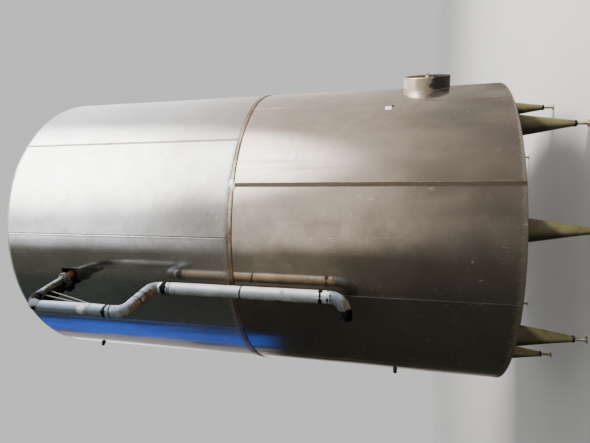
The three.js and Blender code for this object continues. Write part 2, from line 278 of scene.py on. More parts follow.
# Scrapes: the thin contour lines of a stretched noise look like hairline scratches
scrapes, g, knob, result = shared_effect("scrapes", {"Fineness": 5.0, "Width": 0.006}, ["Scrape"])
drift = g.noise(stretched_place(g, knob["Fineness"], knob["Fineness"] * 0.12), 1.0, 1.0)
off_line = g.math("ABSOLUTE", drift - 0.5)
broken = g.fade(g.noise(g.place(), 14.0, 1.0), 0.60, 0.68)
g.feed(result["Scrape"], g.fade(off_line, knob["Width"], 0.0) * broken)

# Tarnish: broad clouds, for the slow changes of colour over a large sheet
tarnish, g, knob, result = shared_effect("tarnish", {"Size": 1.0, "Seed": 0.0}, ["Tarnish"])
shifted = g.vector("ADD", g.place(), g.node("ShaderNodeCombineXYZ", {0: knob["Seed"]})[0])
clouds = g.noise(shifted, 1.0 / knob["Size"], 5.0, 0.8, 0.55)
g.feed(result["Tarnish"], g.fade(clouds, 0.3, 0.7))

# Green growth: a ragged line that keeps to the lowest part of a piece, and climbs on the damp side
green_growth, g, knob, result = shared_effect("green_growth", {"Foot": 0.6, "Rise": 0.1, "Damp": 1.0},
                                              ["Growth"])
height = g.height()
climbed = (height - knob["Foot"]) / (knob["Rise"] * knob["Damp"])
ragged = climbed + g.noise(g.place(), 34.0, 7.0, 0.6, 0.7) * 1.6
g.feed(result["Growth"], g.fade(ragged, 1.7, 0.5))

# Damp side: how far a spot of the round wall lies towards the side that the sun doesn't reach
damp_side, g, knob, result = shared_effect("damp_side", {"Way": (-0.9, 0.43, 0.0)}, ["Damp"])
outwards = g.vector("NORMALIZE", g.vector("MULTIPLY", g.place(), (1.0, 1.0, 0.0)))
g.feed(result["Damp"], g.vector("DOT_PRODUCT", outwards, knob["Way"]))

# Rust: patches with their own colour, orange where thin and dark brown where thick
rust_bloom, g, knob, result = shared_effect("rust_bloom", {"Size": 0.05, "Amount": 0.5},
                                            ["Rust", "Rust Colour", "Pitting"])
patches = g.noise(g.place(), 1.0 / knob["Size"], 7.0, 0.4, 0.65)
gate = 0.75 - knob["Amount"] * 0.5
g.feed(result["Rust"], g.fade(patches, gate, gate + 0.12))
crumbs = g.noise(g.place(), 9.0 / knob["Size"], 4.0, 0.0, 0.7)
g.feed(result["Rust Colour"], g.blend(g.fade(crumbs, 0.35, 0.65), (62, 34, 20), (150, 84, 42)))
g.feed(result["Pitting"], crumbs)

# A stain at one spot, with a ragged edge
stain_at, g, knob, result = shared_effect("stain_at", {"Centre": (0.0, 0.0, 0.0), "Radius": 0.1}, ["Stain"])
away = g.vector("DISTANCE", g.place(), knob["Centre"]) / knob["Radius"]
frayed = away + g.noise(g.place(), 24.0, 5.0) * 0.9
g.feed(result["Stain"], g.fade(frayed, 1.35, 0.75))
print("shared effects:", len(bpy.data.node_groups))

# %% [markdown]
# ## How a finish is put together
# Every finish ends in one Principled shader. This class opens a material, lays the shared effects
# in it, and sets the shader: what varies over the surface is linked, and what is the same all
# over is set on the shader's own socket. The tone is built up as a painter would do it, one coat
# over another, with a line for each coat.

# %% The finish class
class Finish(Wiring):
    """A material and its shader."""

    def __init__(self, name):
        self.material = bpy.data.materials.new(name)
        self.material.use_nodes = True
        super().__init__(self.material.node_tree)
        self.shader = self.tree.nodes["Principled BSDF"]

    def lay(self, effect, **knobs):
        """A shared effect placed in this material: its output, or all of them where it has several."""
        made = self.node("ShaderNodeGroup", knobs, node_tree=effect)
        outputs = [made[number] for number in range(len(made) // 2)]
        return outputs if len(outputs) > 1 else outputs[0]

    def surface(self, colour, roughness, metallic=0.0, bump=None, depth=0.001, **constants):
        """Feeds the shader; bump is a height from 0 to 1 and depth is its size in metres."""
        self.feed(self.shader.inputs["Base Color"], colour)
        self.feed(self.shader.inputs["Roughness"], roughness)
        self.feed(self.shader.inputs["Metallic"], metallic)
        if bump is not None:
            relief = self.node("ShaderNodeBump", {"Height": bump, "Distance": depth, "Strength": 1.0})
            self.feed(self.shader.inputs["Normal"], relief[0])
        for socket, value in constants.items():
            self.shader.inputs[socket.replace("_", " ")].default_value = value
        return self.material

    def mark(self, name):
        """A number that each point of the mesh carries."""
        return self.node("ShaderNodeAttribute", attribute_name=name)["Fac"]

    def coats(self, tone, *coats):
        """A tone under one coat after another; each coat is its mask, its share and its own tone."""
        for mask, share, colour in coats:
            tone = self.blend(mask * share, tone, colour)
        return tone


print("finish class ready")

# %% [markdown]
# ## The stainless skin
# The sheet on the real tank is mill-finished stainless: it mirrors softly, with an upright grain,
# and it is dirty. A mirror with noise in its roughness would do for clean sheet. Here dirt is laid
# over it as its own layers: broad tarnish, runs below the band, splashes, dirt along the seams, a
# darkening towards the foot, and growth and mould at the foot. On the side away from the sun a
# painted shade darkens it further. Dirt isn't metal, so each layer, and the painted shade, also
# lowers the metallic value and dulls the mirror.

# %% Skin finish
# The azimuth that faces away from the sun, and the height of each course's lower edge
LEE = 154.5
LOWER_FOOT = 0.636
UPPER_FOOT = 3.142


def skin_finish(name, tones, foot, band_height, seed, growth_tone, painted_shade):
    """Stainless sheet: `tones` are its clean, dull and warm tones, `foot` is the height of its lower edge,
    `band_height` is where its dirt runs start, `painted_shade` is how strongly the damp side is painted in
    shade."""
    clean, dull, warm = tones
    f = Finish(name)
    grain = f.lay(rolled_grain, Fineness=70.0, Stretch=60.0)
    fine = f.lay(rolled_grain, Fineness=420.0, Stretch=90.0)
    clouds = f.lay(tarnish, Size=0.9, Seed=seed)
    blotches = f.lay(tarnish, Size=0.42, Seed=seed + 3)
    smears = f.lay(tarnish, Size=0.16, Seed=seed + 7)
    runs = f.lay(dirt_runs, Top=band_height, Length=1.5, Coverage=0.46, Fineness=16.0)
    long_runs = f.lay(dirt_runs, Top=band_height + 0.1, Length=2.9, Coverage=0.3, Fineness=5.0)
    splashes = f.lay(specks, Size=0.03, Amount=0.15)
    pale_dots = f.lay(specks, Size=0.015, Amount=0.07)
    lines = f.lay(scrapes, Fineness=9.0, Width=0.007)
    damp = f.lay(damp_side, Way=tuple(level(LEE)))
    growth = f.lay(green_growth, Foot=foot, Rise=0.08, Damp=f.fade(damp, -0.9, 0.1, 0.25, 1.1))
    height = f.height()
    # Darker and duller towards the foot of each course
    low = f.fade(height, foot + 1.7, foot + 0.1)
    mould = f.lay(specks, Size=0.017, Amount=0.5) * f.fade(height, foot + 0.16, foot)
    mould = mould * f.fade(blotches, 0.35, 0.75)
    hem = f.mark("from_edge")
    joint = f.fade(hem + smears * 0.003, 0.0065, 0.002)
    # Painted shade: the side away from the sun, more so low down, is painted dark (36, 37, 25)
    reach = damp + blotches * 0.25 + low * 0.3
    shade = f.fade(reach, -0.15, 0.8) * painted_shade

    tone = f.coats(clean,
        (clouds, 0.75, dull),
        (blotches, 0.45, warm),
        (smears, 0.2, (122, 116, 106)),
        (f.total(runs, long_runs * 0.7), 0.42, (94, 82, 66)),
        (low, 0.38, (88, 83, 74)),
        # the painted shade coat
        (shade, 1.0, (36, 37, 25)),
        (splashes, 0.55, (70, 62, 50)),
        (pale_dots, 0.7, (222, 216, 204)),
        (lines, 0.5, (222, 220, 214)),
        (joint, 0.7, (54, 46, 36)),
        (growth, 0.85, f.blend(f.fade(damp, -0.6, 0.2), (78, 70, 56), growth_tone)),
        (mould, 0.8, (38, 35, 26)))

    cover = f.total(runs * 0.25, low * 0.15, splashes * 0.6, growth * 0.9, mould)
    cover = f.total(cover, joint * 0.6)
    shine = 1.0 - f.total(cover, shade * 0.25)
    dulled = grain * 0.06 + smears * 0.04
    rough = 0.065 + dulled + cover * 0.4
    relief = f.total(grain * 0.45, fine * 0.25, f.total(splashes, growth) * 0.3)
    return f.surface(tone, rough, shine, relief, depth=0.00013)


upper_tones = ((212, 212, 210), (182, 181, 176), (196, 192, 186))
lower_tones = ((193, 184, 174), (160, 155, 148), (186, 171, 157))
upper_skin = skin_finish("upper_skin", upper_tones, UPPER_FOOT, 5.6, 3.0, (80, 66, 44), 0.45)
lower_skin = skin_finish("lower_skin", lower_tones, LOWER_FOOT, 3.12, 11.0, (68, 66, 32), 0.62)
print("skins:", upper_skin.name, lower_skin.name)

# %% [markdown]
# ## From arrays to a piece
# A piece starts as a grid of points, worked out as one array. `quilt` joins the grid into faces.
# `add_piece` puts points and faces into a mesh, merges the points that fall together at poles and
# seams, turns the normals outwards, marks the sharp edges, and hangs the piece on the frame.

# %% Grid faces and pieces
def quilt(rows, columns, loop_rows=False, loop_columns=False):
    """Faces of a grid: each joins a point to the next in its row and to those two in the next row."""
    row = np.arange(rows if loop_rows else rows - 1)[:, None]
    column = np.arange(columns if loop_columns else columns - 1)[None, :]
    next_row, next_column = (row + 1) % rows, (column + 1) % columns
    corners = [row * columns + column, row * columns + next_column]
    corners += [next_row * columns + next_column, next_row * columns + column]
    return np.stack(corners, -1).reshape(-1, 4)


def add_piece(name, shape, finishes, stands_for=(), marks=None, sharp=40, kinds=None):
    """One mesh object at the origin. `shape` is its points and its faces; `marks` are named numbers, one
    for each point, that a finish reads; `kinds` is the number of each face's finish."""
    points, faces = shape
    mesh = bpy.data.meshes.new(name)
    mesh.from_pydata(np.reshape(points, (-1, 3)).tolist(), [], [list(face) for face in faces])
    for mark, values in (marks or {}).items():
        layer = mesh.attributes.new(mark, "FLOAT", "POINT")
        layer.data.foreach_set("value", np.ravel(values).astype(np.float32))
    for finish in finishes if isinstance(finishes, list) else [finishes]:
        mesh.materials.append(finish)
    if kinds is not None:
        mesh.polygons.foreach_set("material_index", kinds)
    edit = bmesh.new()
    edit.from_mesh(mesh)
    bmesh.ops.remove_doubles(edit, verts=edit.verts, dist=2e-6)
    bmesh.ops.recalc_face_normals(edit, faces=edit.faces)
    edit.to_mesh(mesh)
    edit.free()
    mesh.polygons.foreach_set("use_smooth", np.ones(len(mesh.polygons), bool))
    mesh.set_sharp_from_angle(angle=math.radians(sharp))
    piece = bpy.data.objects.new(name, mesh)
    bpy.context.scene.collection.objects.link(piece)
    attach(piece, "root")
    if stands_for:
        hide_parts(*([stands_for] if isinstance(stands_for, str) else stands_for))
    return piece


print("a 3 by 4 grid has", len(quilt(3, 4)), "faces")

# %% [markdown]
# ## The shape of one sheet
# A sheet that is rolled and hung is never a true cylinder. It stands out in shallow waves between
# its seams, which bend the reflections, and its edges are folded back in a hem. A wall could be a
# plain arc with a bump texture, but then its outline and its mirror image stay too perfect. So
# the waves, hems and a few creases are in the surface itself.

# %% Measures of the shell
SHEET_WIDTH = 1.0
SHEET_HEIGHT = 2.5
SHEETS_ROUND = 10
SHEET_ANGLE = 360 / SHEETS_ROUND
SHELL_RADIUS = SHEETS_ROUND * SHEET_WIDTH / (2 * math.pi)
WALL = 0.06
INNER_RADIUS = SHELL_RADIUS - WALL
SHELL_TOP = UPPER_FOOT + SHEET_HEIGHT
BAND_MIDDLE = 3.139
LOWER_SEAM, UPPER_SEAM = -102.0, -84.0
MANWAY_AZIMUTH = -48.0
MANWAY_HEIGHT = 1.374
MANWAY_HOLE = (0.2315, 0.2315)
PIPE_AZIMUTH = -135.7
ARM_HEIGHT = 4.940
POCKET_HALF = (0.0775, 0.085)
POCKET_DEPTH = 0.045

# Sheets are counted from the manway's; the upper course's waves are seeded from their own number
MANWAY_SHEET, OUTLET_SHEET, UPPER_SEED = 0, 7, 40

# The gap between two sheets, and the gap that other pieces keep to their neighbour
HAIR = 0.0006
CLEAR = HAIR / 2

# Creases: azimuth and height at both ends, half width, depth
CREASES = [
    (-107.4, 4.70, -102.4, 4.59, 0.014, 0.0032),
    (-108.0, 4.137, -88.0, 4.183, 0.022, 0.0012),
    (-74.0, 2.36, -70.5, 2.20, 0.020, 0.0020),
    (-31.0, 1.10, -24.0, 1.02, 0.030, 0.0030),
    (22.0, 3.90, 27.0, 4.15, 0.026, 0.0028),
    (66.0, 1.45, 71.0, 1.38, 0.030, 0.0030),
    (118.0, 4.60, 126.0, 4.72, 0.024, 0.0024),
]


def wave_of(across, up, number):
    """Four sine waves of different heading and length, with phases from the sheet's number."""
    chance = np.random.default_rng(number)
    swell = 0.0
    for _ in range(4):
        heading, length, phase = chance.uniform(0, math.pi), chance.uniform(0.5, 1.4), chance.uniform(0, 6.28)
        way = across * math.cos(heading) + up * math.sin(heading)
        swell = swell + np.sin(2 * math.pi * way / length + phase)
    return swell / 4


def crease_depth(azimuth, height):
    """For each crease, depth times exp(-(distance from its line / half width) squared)."""
    depth = np.zeros(np.broadcast(azimuth, height).shape)
    arc = math.radians(1) * SHELL_RADIUS
    for a0, z0, a1, z1, half_width, deep in CREASES:
        run, rise = (a1 - a0) * arc, z1 - z0
        east, north = (azimuth - a0) * arc, height - z0
        share = np.clip((east * run + north * rise) / (run**2 + rise**2), 0, 1)
        away = np.hypot(east - share * run, north - share * rise)
        depth = depth + deep * np.exp(-((away / half_width) ** 2))
    return depth


def from_edge(across, up):
    """The distance to the sheet's nearest edge."""
    return np.abs(np.minimum(np.minimum(across, SHEET_WIDTH - across), np.minimum(up, SHEET_HEIGHT - up)))


def skin_radius(across, up, azimuth, height, number):
    """Shell radius, plus waves that die out at the edges and the hem's lip, less its groove and creases."""
    edge = from_edge(across, up)
    waves = 0.0016 * wave_of(across, up, number) * (1 - np.exp(-edge / 0.07))
    lip = 0.0007 * np.exp(-(((edge - 0.009) / 0.0045) ** 2))
    groove = 0.0020 * np.exp(-((edge / 0.003) ** 2))
    return SHELL_RADIUS - 0.0008 + waves + lip - groove - crease_depth(azimuth, height)


print("shell radius:", round(SHELL_RADIUS, 4))

# %% [markdown]
# ## Plain sheets
# Eighteen of the twenty sheets have no hole. The outline of the wall at each azimuth is a closed
# loop: up the outside, in over the top, down the inside and out again. That loop is carried round
# by 36 degrees. Points crowd together at the edges, so that the hem is drawn sharply and the
# middle stays light.

# %% Plain sheets
HEM_STEPS = np.array([0.0, 0.002, 0.004, 0.0065, 0.009, 0.0115, 0.015, 0.021, 0.03])


def edge_spaced(length, spacing):
    """Distances from 0 to a length: the hem's steps at both ends, even steps between."""
    middle = np.linspace(0.045, length - 0.045, round((length - 0.09) / spacing))
    return np.concatenate([HEM_STEPS, middle, (length - HEM_STEPS)[::-1]])


def wall_sheet(name, middle, bottom, number, finish):
    """Points (azimuth, radius, height): the outside at skin_radius, then the inside at INNER_RADIUS."""
    across = edge_spaced(SHEET_WIDTH - HAIR, 0.017)
    up = edge_spaced(SHEET_HEIGHT, 0.026)
    azimuth = middle + np.degrees((across - across[-1] / 2) / SHELL_RADIUS)
    heights = bottom + up
    outside = skin_radius(across[:, None], up[None, :], azimuth[:, None], heights[None, :], number)
    inside = np.full((len(across), 2), INNER_RADIUS)
    loop_heights = np.concatenate([heights, heights[[-1, 0]]])
    points = on_tank(azimuth[:, None], np.concatenate([outside, inside], 1), loop_heights[None, :])
    rows, columns = points.shape[:2]
    ends = [range(columns), range((rows - 1) * columns, rows * columns)]
    faces = [*quilt(rows, columns, loop_columns=True).tolist(), *ends]
    edge = np.concatenate([from_edge(across[:, None], up[None, :]), np.full((rows, 2), 0.1)], 1)
    return add_piece("skin_" + name, (points, faces), finish, name, {"from_edge": edge})


for index in range(SHEETS_ROUND):
    label = f"{index + 1:02d}"
    middle = MANWAY_AZIMUTH + index * SHEET_ANGLE
    if index != MANWAY_SHEET:
        wall_sheet("lower_sheet_" + label, middle, LOWER_FOOT, index, lower_skin)
    middle = MANWAY_AZIMUTH + (index + 0.5) * SHEET_ANGLE
    if index != OUTLET_SHEET:
        wall_sheet("upper_sheet_" + label, middle, UPPER_FOOT, UPPER_SEED + index, upper_skin)

# %% [markdown]
# ## Sheets with a hole
# The manway's sheet has a round hole, and the outlet's sheet has a square pocket cut through its
# outer skin. A boolean cut would leave long thin faces, which show as dents in a mirror. Instead
# the grid starts at the hole: rays go out from its middle, and each carries a row of points from
# the hole's edge to the sheet's border. The pocket's lining is dark insulation.

# %% Pocket finish
f = Finish("pocket_lining")
rust, rust_colour, _ = f.lay(rust_bloom, Size=0.03, Amount=0.5)
crumbly = f.noise(f.place(), 140.0, 6.0)
tone = f.coats((24, 21, 18),
    (rust, 0.35, rust_colour),
    (f.fade(crumbly, 0.55, 0.75), 1.0, (52, 46, 36)))
pocket_lining = f.surface(tone, 0.8 + crumbly * 0.2, 0.0, crumbly, depth=0.004)
print("finish:", pocket_lining.name)

# %% Holed sheets
def to_border(ray, left, right_side, low, high):
    """How far each ray goes from the middle to a rectangle's border, and how squarely it meets it."""
    run, rise = np.cos(ray), np.sin(ray)
    sideways = np.where(run > 0, right_side, left) / np.maximum(np.abs(run), 1e-9)
    upright = np.where(rise > 0, high, low) / np.maximum(np.abs(rise), 1e-9)
    squarely = np.where(sideways < upright, np.abs(run), np.abs(rise))
    return np.minimum(sideways, upright), squarely


def holed_sheet(name, middle, bottom, number, hole_at, hole_size, round_hole, depth, finish):
    """hole_at is the hole's azimuth and height; hole_size its half width and half height. A depth
    less than the wall makes a pocket with a back; otherwise the hole goes through."""
    hole_azimuth, hole_height = hole_at
    half_wide, half_tall = hole_size
    left = (hole_azimuth - middle) * math.radians(1) * SHELL_RADIUS + (SHEET_WIDTH - HAIR) / 2
    low = hole_height - bottom
    sides = (left, SHEET_WIDTH - HAIR - left, low, SHEET_HEIGHT - low)
    corners = [math.atan2(v, h) for h in (-sides[0], sides[1]) for v in (-sides[2], sides[3])]
    corners += [math.atan2(v, h) for h in (-half_wide, half_wide) for v in (-half_tall, half_tall)]
    ray = np.unique(np.round(np.concatenate([np.linspace(-math.pi, math.pi, 241)[:-1], corners]), 7))
    border, squarely = to_border(ray, *sides)
    if round_hole:
        edge = np.full_like(ray, half_wide)
    else:
        edge = to_border(ray, half_wide, half_wide, half_tall, half_tall)[0]
        edge = edge + 0.0012 * np.sin(23 * ray) + 0.0008 * np.sin(41 * ray + 1)
    hem = HEM_STEPS[None, ::-1] / squarely[:, None]
    even = edge[:, None] + np.linspace(0, 1, 70)[None, :] * (border - hem[:, 0] - 0.012 - edge)[:, None]
    out = np.concatenate([even, border[:, None] - hem], 1)
    across, up = out * np.cos(ray)[:, None], out * np.sin(ray)[:, None]
    azimuth, height = hole_azimuth + np.degrees(across / SHELL_RADIUS), hole_height + up
    skin = skin_radius(across + left, up + low, azimuth, height, number)
    first = on_tank(azimuth[:, 0], skin[:, 0] - depth, height[:, 0])[:, None]
    last = on_tank(azimuth[:, -1], INNER_RADIUS, height[:, -1])[:, None]
    points = np.concatenate([first, on_tank(azimuth, skin, height), last], 1)
    mark = np.concatenate([np.full_like(first[..., 0], 0.1), from_edge(across + left, up + low)], 1)
    mark = np.concatenate([mark, mark[:, :1]], 1)
    if depth < WALL:
        mark = np.concatenate([mark[:, :1], mark, mark[:, :1]], 1)
        front = np.broadcast_to(on_tank(hole_azimuth, SHELL_RADIUS - depth, hole_height), first.shape)
        back = np.broadcast_to(on_tank(hole_azimuth, INNER_RADIUS, hole_height), first.shape)
        points = np.concatenate([front, points, back], 1)
    rows, columns = points.shape[:2]
    faces = quilt(rows, columns, loop_rows=True, loop_columns=depth >= WALL)
    kinds = np.zeros((rows, len(faces) // rows), int)
    kinds[:, : 1 if depth >= WALL else 2] = 1
    marks = {"from_edge": mark}
    return add_piece("skin_" + name, (points, faces), [finish, pocket_lining], name, marks,
                     kinds=kinds.ravel())


holed_sheet("lower_sheet_01", MANWAY_AZIMUTH, LOWER_FOOT, MANWAY_SHEET, (MANWAY_AZIMUTH, MANWAY_HEIGHT),
            MANWAY_HOLE, True, WALL, lower_skin)
middle = MANWAY_AZIMUTH + (OUTLET_SHEET + 0.5) * SHEET_ANGLE - 360
holed_sheet("upper_sheet_08", middle, UPPER_FOOT, UPPER_SEED + OUTLET_SHEET, (PIPE_AZIMUTH, ARM_HEIGHT),
            POCKET_HALF, False, POCKET_DEPTH, upper_skin)

# %% [markdown]
# ## Cover strips over the closing seams
# On each course one upright seam, and the one across from it, is closed by a flat bar instead of
# a hem: 40 mm wide and dark with old dirt on the lower course, 24 mm wide and grey on the upper.
# Its outline is a superellipse, a rectangle with soft corners. A number that each point carries
# tells the finish how near the bar's edge it is, so that the edges can be worn bright.

# %% Strip finish
def strip_finish(name, middle_tone, edge_tone, gloss):
    """Rolled bar with some rust, dull in its middle and worn bright along its edges."""
    f = Finish(name)
    near_edge = f.mark("near_edge")
    grain = f.lay(rolled_grain, Fineness=160.0, Stretch=30.0)
    rust, rust_colour, pits = f.lay(rust_bloom, Size=0.05, Amount=0.35)
    uneven = near_edge + f.noise(f.place(), 45.0, 4.0) * 0.3
    worn = f.fade(uneven, 0.98, 1.16)
    tone = f.coats(middle_tone,
        (rust, 0.7, rust_colour),
        (f.fade(grain, 0.5, 0.8), 1.0, (44, 38, 30)),
        (worn, 0.8, edge_tone))
    rough = gloss + grain * 0.3
    metal = 0.55 + worn * 0.4
    return f.surface(tone, rough, metal, f.total(grain * 0.5, pits * 0.4), depth=0.0006)


dark_strip = strip_finish("dark_strip", (70, 60, 48), (168, 160, 146), 0.42)
grey_strip = strip_finish("grey_strip", (138, 136, 130), (196, 194, 188), 0.3)
print("finishes:", dark_strip.name, grey_strip.name)

# %% Cover strips
def superellipse(half_width, half_height, columns, squareness):
    """Loop (w sign(cos) |cos|^(2/n), h sign(sin) |sin|^(2/n)): an ellipse at n = 2, nearly a box at 8."""
    turn = full_turn(columns)
    run, rise = np.cos(turn), np.sin(turn)
    power = 2 / squareness
    wide = half_width * np.sign(run) * np.abs(run) ** power
    tall = half_height * np.sign(rise) * np.abs(rise) ** power
    return np.stack([wide, tall], -1)


def cover_strip(name, azimuth, bottom, top, half_width, finish):
    """A superellipse 6.4 mm thick, half sunk in the skin, carried up the seam with a slight waver."""
    outline = superellipse(half_width, 0.0032, 28, 7)
    height = np.linspace(bottom, top, 64)
    waver = 0.0006 * np.sin(9 * height) + 0.0003 * np.sin(31 * height)
    across = outline[None, :, 0] + waver[:, None]
    points = on_tank(azimuth + np.degrees(across / SHELL_RADIUS), SHELL_RADIUS + outline[None, :, 1],
                     height[:, None])
    rows, columns = points.shape[:2]
    ends = [range(columns), range((rows - 1) * columns, rows * columns)]
    near_edge = np.broadcast_to(np.abs(outline[None, :, 0]) / half_width, (rows, columns))
    faces = [*quilt(rows, columns, loop_columns=True).tolist(), *ends]
    return add_piece(name, (points, faces), finish, marks={"near_edge": near_edge})


for name, seam, low, high, half_width, finish in (
    ("lower_strip_", LOWER_SEAM, LOWER_FOOT + 0.001, BAND_MIDDLE - 0.026, 0.0205, dark_strip),
    ("upper_strip_", UPPER_SEAM, BAND_MIDDLE + 0.026, SHELL_TOP - 0.001, 0.012, grey_strip),
):
    cover_strip(name + "front", seam, low, high, half_width, finish)
    cover_strip(name + "back", seam + 180, low, high, half_width, finish)
print("strips: 4")

# %% [markdown]
# ## The girth band
# A crowned flat bar, 45 mm high, hides the joint between the courses. It is mild steel, stained
# brown, with bright metal where it is rubbed. Its crown matters: a flat face would catch light
# all over or not at all, and the real band flashes in one place. It is joined over the dark
# strips, where each weld is a bright rough splash of three lumps.

# %% Band finish
f = Finish("stained_band")
rust, _, _ = f.lay(rust_bloom, Size=0.16, Amount=0.5)
fine_rust, _, pits = f.lay(rust_bloom, Size=0.025, Amount=0.4)
patchy = f.lay(tarnish, Size=0.5, Seed=2.0)
near_edge = f.mark("near_edge")
fringe = f.fade(near_edge + patchy * 0.4, 0.58, 1.0)
tone = f.coats((146, 138, 122),
    (patchy, 0.8, (98, 88, 70)),
    (rust, 0.7, (98, 68, 42)),
    (fine_rust, 0.6, (58, 44, 32)),
    (fringe, 0.9, (76, 50, 30)))
bare = 1.0 - f.total(rust * 0.5, fine_rust * 0.4, fringe * 0.7)
rough = 0.72 - bare * 0.38
stained_band = f.surface(tone, rough, bare, pits, depth=0.0007)
print("finish:", stained_band.name)

# %% Band and its weld
BAND_HALF_THICK, BAND_HALF_HEIGHT = 0.002496, 0.022655
band_turn = np.linspace(-180, 180, 480, endpoint=False)
outline = superellipse(BAND_HALF_THICK, BAND_HALF_HEIGHT, 20, 3.2)
slack = 0.0004 * np.sin(np.radians(band_turn) * 17) + 0.0003 * np.sin(np.radians(band_turn) * 41)
band_out, band_up = SHELL_RADIUS + 0.0028 + outline[:, 0], BAND_MIDDLE + slack[:, None] + outline[:, 1]
points = on_tank(band_turn[:, None], band_out, band_up)
near_edge = {"near_edge": np.broadcast_to(np.abs(outline[:, 1]) / BAND_HALF_HEIGHT, points.shape[:2])}
faces = quilt(*points.shape[:2], True, True)
add_piece("girth_bar", (points, faces), stained_band, "girth_band", near_edge, sharp=60)


def weld_lump(name, place, out, along, size, finish, seed, lumpy=1.0):
    """An ellipsoid with its radius shaken by sines: size is its half length, half width and height."""
    out, along = unit(out), unit(along)
    across = np.cross(out, along)
    tip = np.linspace(0, math.pi, 17)[:, None]
    turn = full_turn(26)
    shake = 0.09 * np.sin(5 * turn + seed) * np.sin(3 * tip)
    shake = 1 + lumpy * (shake + 0.06 * np.sin(9 * turn + 2 * seed) * np.sin(7 * tip))
    x = size[0] * np.cos(tip) * np.ones_like(turn)
    y, z = size[1] * np.sin(tip) * np.cos(turn) * shake, size[2] * np.sin(tip) * np.sin(turn) * shake
    points = np.asarray(place) + x[..., None] * along + y[..., None] * across + z[..., None] * out
    return add_piece(name, (points, quilt(17, 26, loop_columns=True)), finish)


f = Finish("bright_weld")
beads = f.noise(f.place(), 120.0, 5.0, 0.8)
scorch = f.lay(tarnish, Size=0.04, Seed=5.0)
tone = f.blend(scorch * 0.6, (226, 222, 212), (150, 136, 112))
bright_weld = f.surface(tone, 0.28 + scorch * 0.3, 0.7, beads, depth=0.0022)
splashes = ((0.0, 0.0, 0.030), (1.1, 0.004, 0.024), (-0.9, -0.010, 0.026))
for name, azimuth in (("band_weld", LOWER_SEAM), ("band_weld_back", LOWER_SEAM + 180)):
    for number, (aside, up, half) in enumerate(splashes):
        weld_at = on_tank(azimuth + aside, SHELL_RADIUS + 0.0040, BAND_MIDDLE + up)
        weld_lump(f"{name}_{number + 1}", weld_at, level(azimuth), UP, (half, 0.022, 0.0034), bright_weld,
                  number, 2.4)
print("band: 1 bar, 2 welds of 3 lumps")

# %% [markdown]
# ## Roof
# The roof is a low cone of ten gores. Nothing of it shows from the ground, so it is kept plain:
# a raised seam between gores and a round plate at the top. Heights over a polar grid give the
# whole surface at once.

# %% Roof finish and roof
f = Finish("roof_sheet")
grain = f.lay(rolled_grain, Fineness=60.0, Stretch=1.4)
settled = f.lay(tarnish, Size=0.45, Seed=5.0)
litter = f.lay(specks, Size=0.05, Amount=0.3)
tone = f.coats((186, 185, 180),
    (settled, 0.7, (118, 112, 98)),
    (litter, 0.6, (70, 64, 46)))
matte = f.total(settled * 0.5, litter * 0.6)
rough = 0.3 + f.total(matte, grain * 0.3) * 0.5
roof_sheet = f.surface(tone, rough, 1.0 - matte, f.total(grain, litter), depth=0.0006)

ROOF_SEAT = SHELL_TOP + CLEAR
ROOF_APEX = ROOF_SEAT + 0.26
ROOF_EDGE = ROOF_SEAT + 0.012
ROOF_PLATE = 0.12
seams = np.arange(SHEETS_ROUND) * SHEET_ANGLE + UPPER_SEAM
beside = np.array([-0.9, -0.5, -0.3, -0.15, 0.0, 0.15, 0.3, 0.5, 0.9])
roof_turn = np.concatenate([np.arange(-180, 180, 3.0), (seams[:, None] + beside).ravel()])
roof_turn = np.unique(np.round(roof_turn % 360, 3))
roof_out = np.concatenate([[0.0, 0.06, 0.11, 0.118, 0.122], np.linspace(0.16, SHELL_RADIUS - 0.03, 30)])
roof_out = np.concatenate([roof_out, SHELL_RADIUS - np.array([0.016, 0.006, 0.001])])
off_seam = np.min(np.abs((roof_turn[:, None] - seams[None, :] + 180) % 360 - 180), 1)
ridge = 0.004 * np.exp(-((np.radians(off_seam)[:, None] * roof_out[None, :] / 0.005) ** 2))
ridge = ridge * (roof_out > 0.13) * (roof_out < SHELL_RADIUS - 0.01)
sag = 0.006 * np.sin(math.pi * roof_out / SHELL_RADIUS) ** 2
plate = 0.003 * (roof_out < ROOF_PLATE)
surface = ROOF_APEX - 0.0045 - (ROOF_APEX - ROOF_EDGE - 0.004) * roof_out / SHELL_RADIUS - sag + plate
top_heights = np.maximum(surface[None, :] + ridge, ROOF_SEAT + 0.004)
under_out = np.array([SHELL_RADIUS - 0.0005, SHELL_RADIUS - 0.0005, INNER_RADIUS, 0.0])
under_heights = np.array([ROOF_SEAT + 0.009, ROOF_SEAT, ROOF_SEAT, ROOF_SEAT + 0.23])
radii = np.concatenate([roof_out, under_out])[None, :]
heights = np.concatenate([top_heights, np.broadcast_to(under_heights, (len(roof_turn), 4))], 1)
points = on_tank(roof_turn[:, None], radii, heights)
add_piece("roof_gores", (points, quilt(*points.shape[:2], loop_rows=True)), roof_sheet,
          "roof_cone")
print("roof:", points.shape)

# %% [markdown]
# ## Turned pieces
# Feet, nuts, screws, the manway's neck and door, the gauge stubs and the flange are all turned:
# an outline of radius and distance along an axis, carried round it. A change of radius that
# depends on the turn makes the same sum give a six-sided nut, and one that depends on both gives
# a thread.

# %% Turned shapes
def turned(outline, foot, axis, columns=48, shape=None, closed=False):
    """Points foot + along * axis + radius * (cos, sin) round it, for (radius, along) pairs; `shape`
    gives a change of radius, in metres, from the turn and the distance along."""
    radius, along = np.asarray(outline, float).T
    axis = unit(axis)
    side = unit(np.cross(axis, (0, 0, 1) if abs(axis[2]) < 0.9 else (0, 1, 0)))
    other = np.cross(axis, side)
    turn = full_turn(columns)
    ring = np.cos(turn)[:, None] * side + np.sin(turn)[:, None] * other
    reach = np.broadcast_to(radius[:, None], (len(radius), columns))
    if shape is not None:
        reach = reach + shape(turn[None, :], along[:, None]) * (radius[:, None] > 1e-6)
    points = np.asarray(foot) + along[:, None, None] * axis + reach[..., None] * ring
    return points, quilt(len(radius), columns, loop_rows=closed, loop_columns=True)


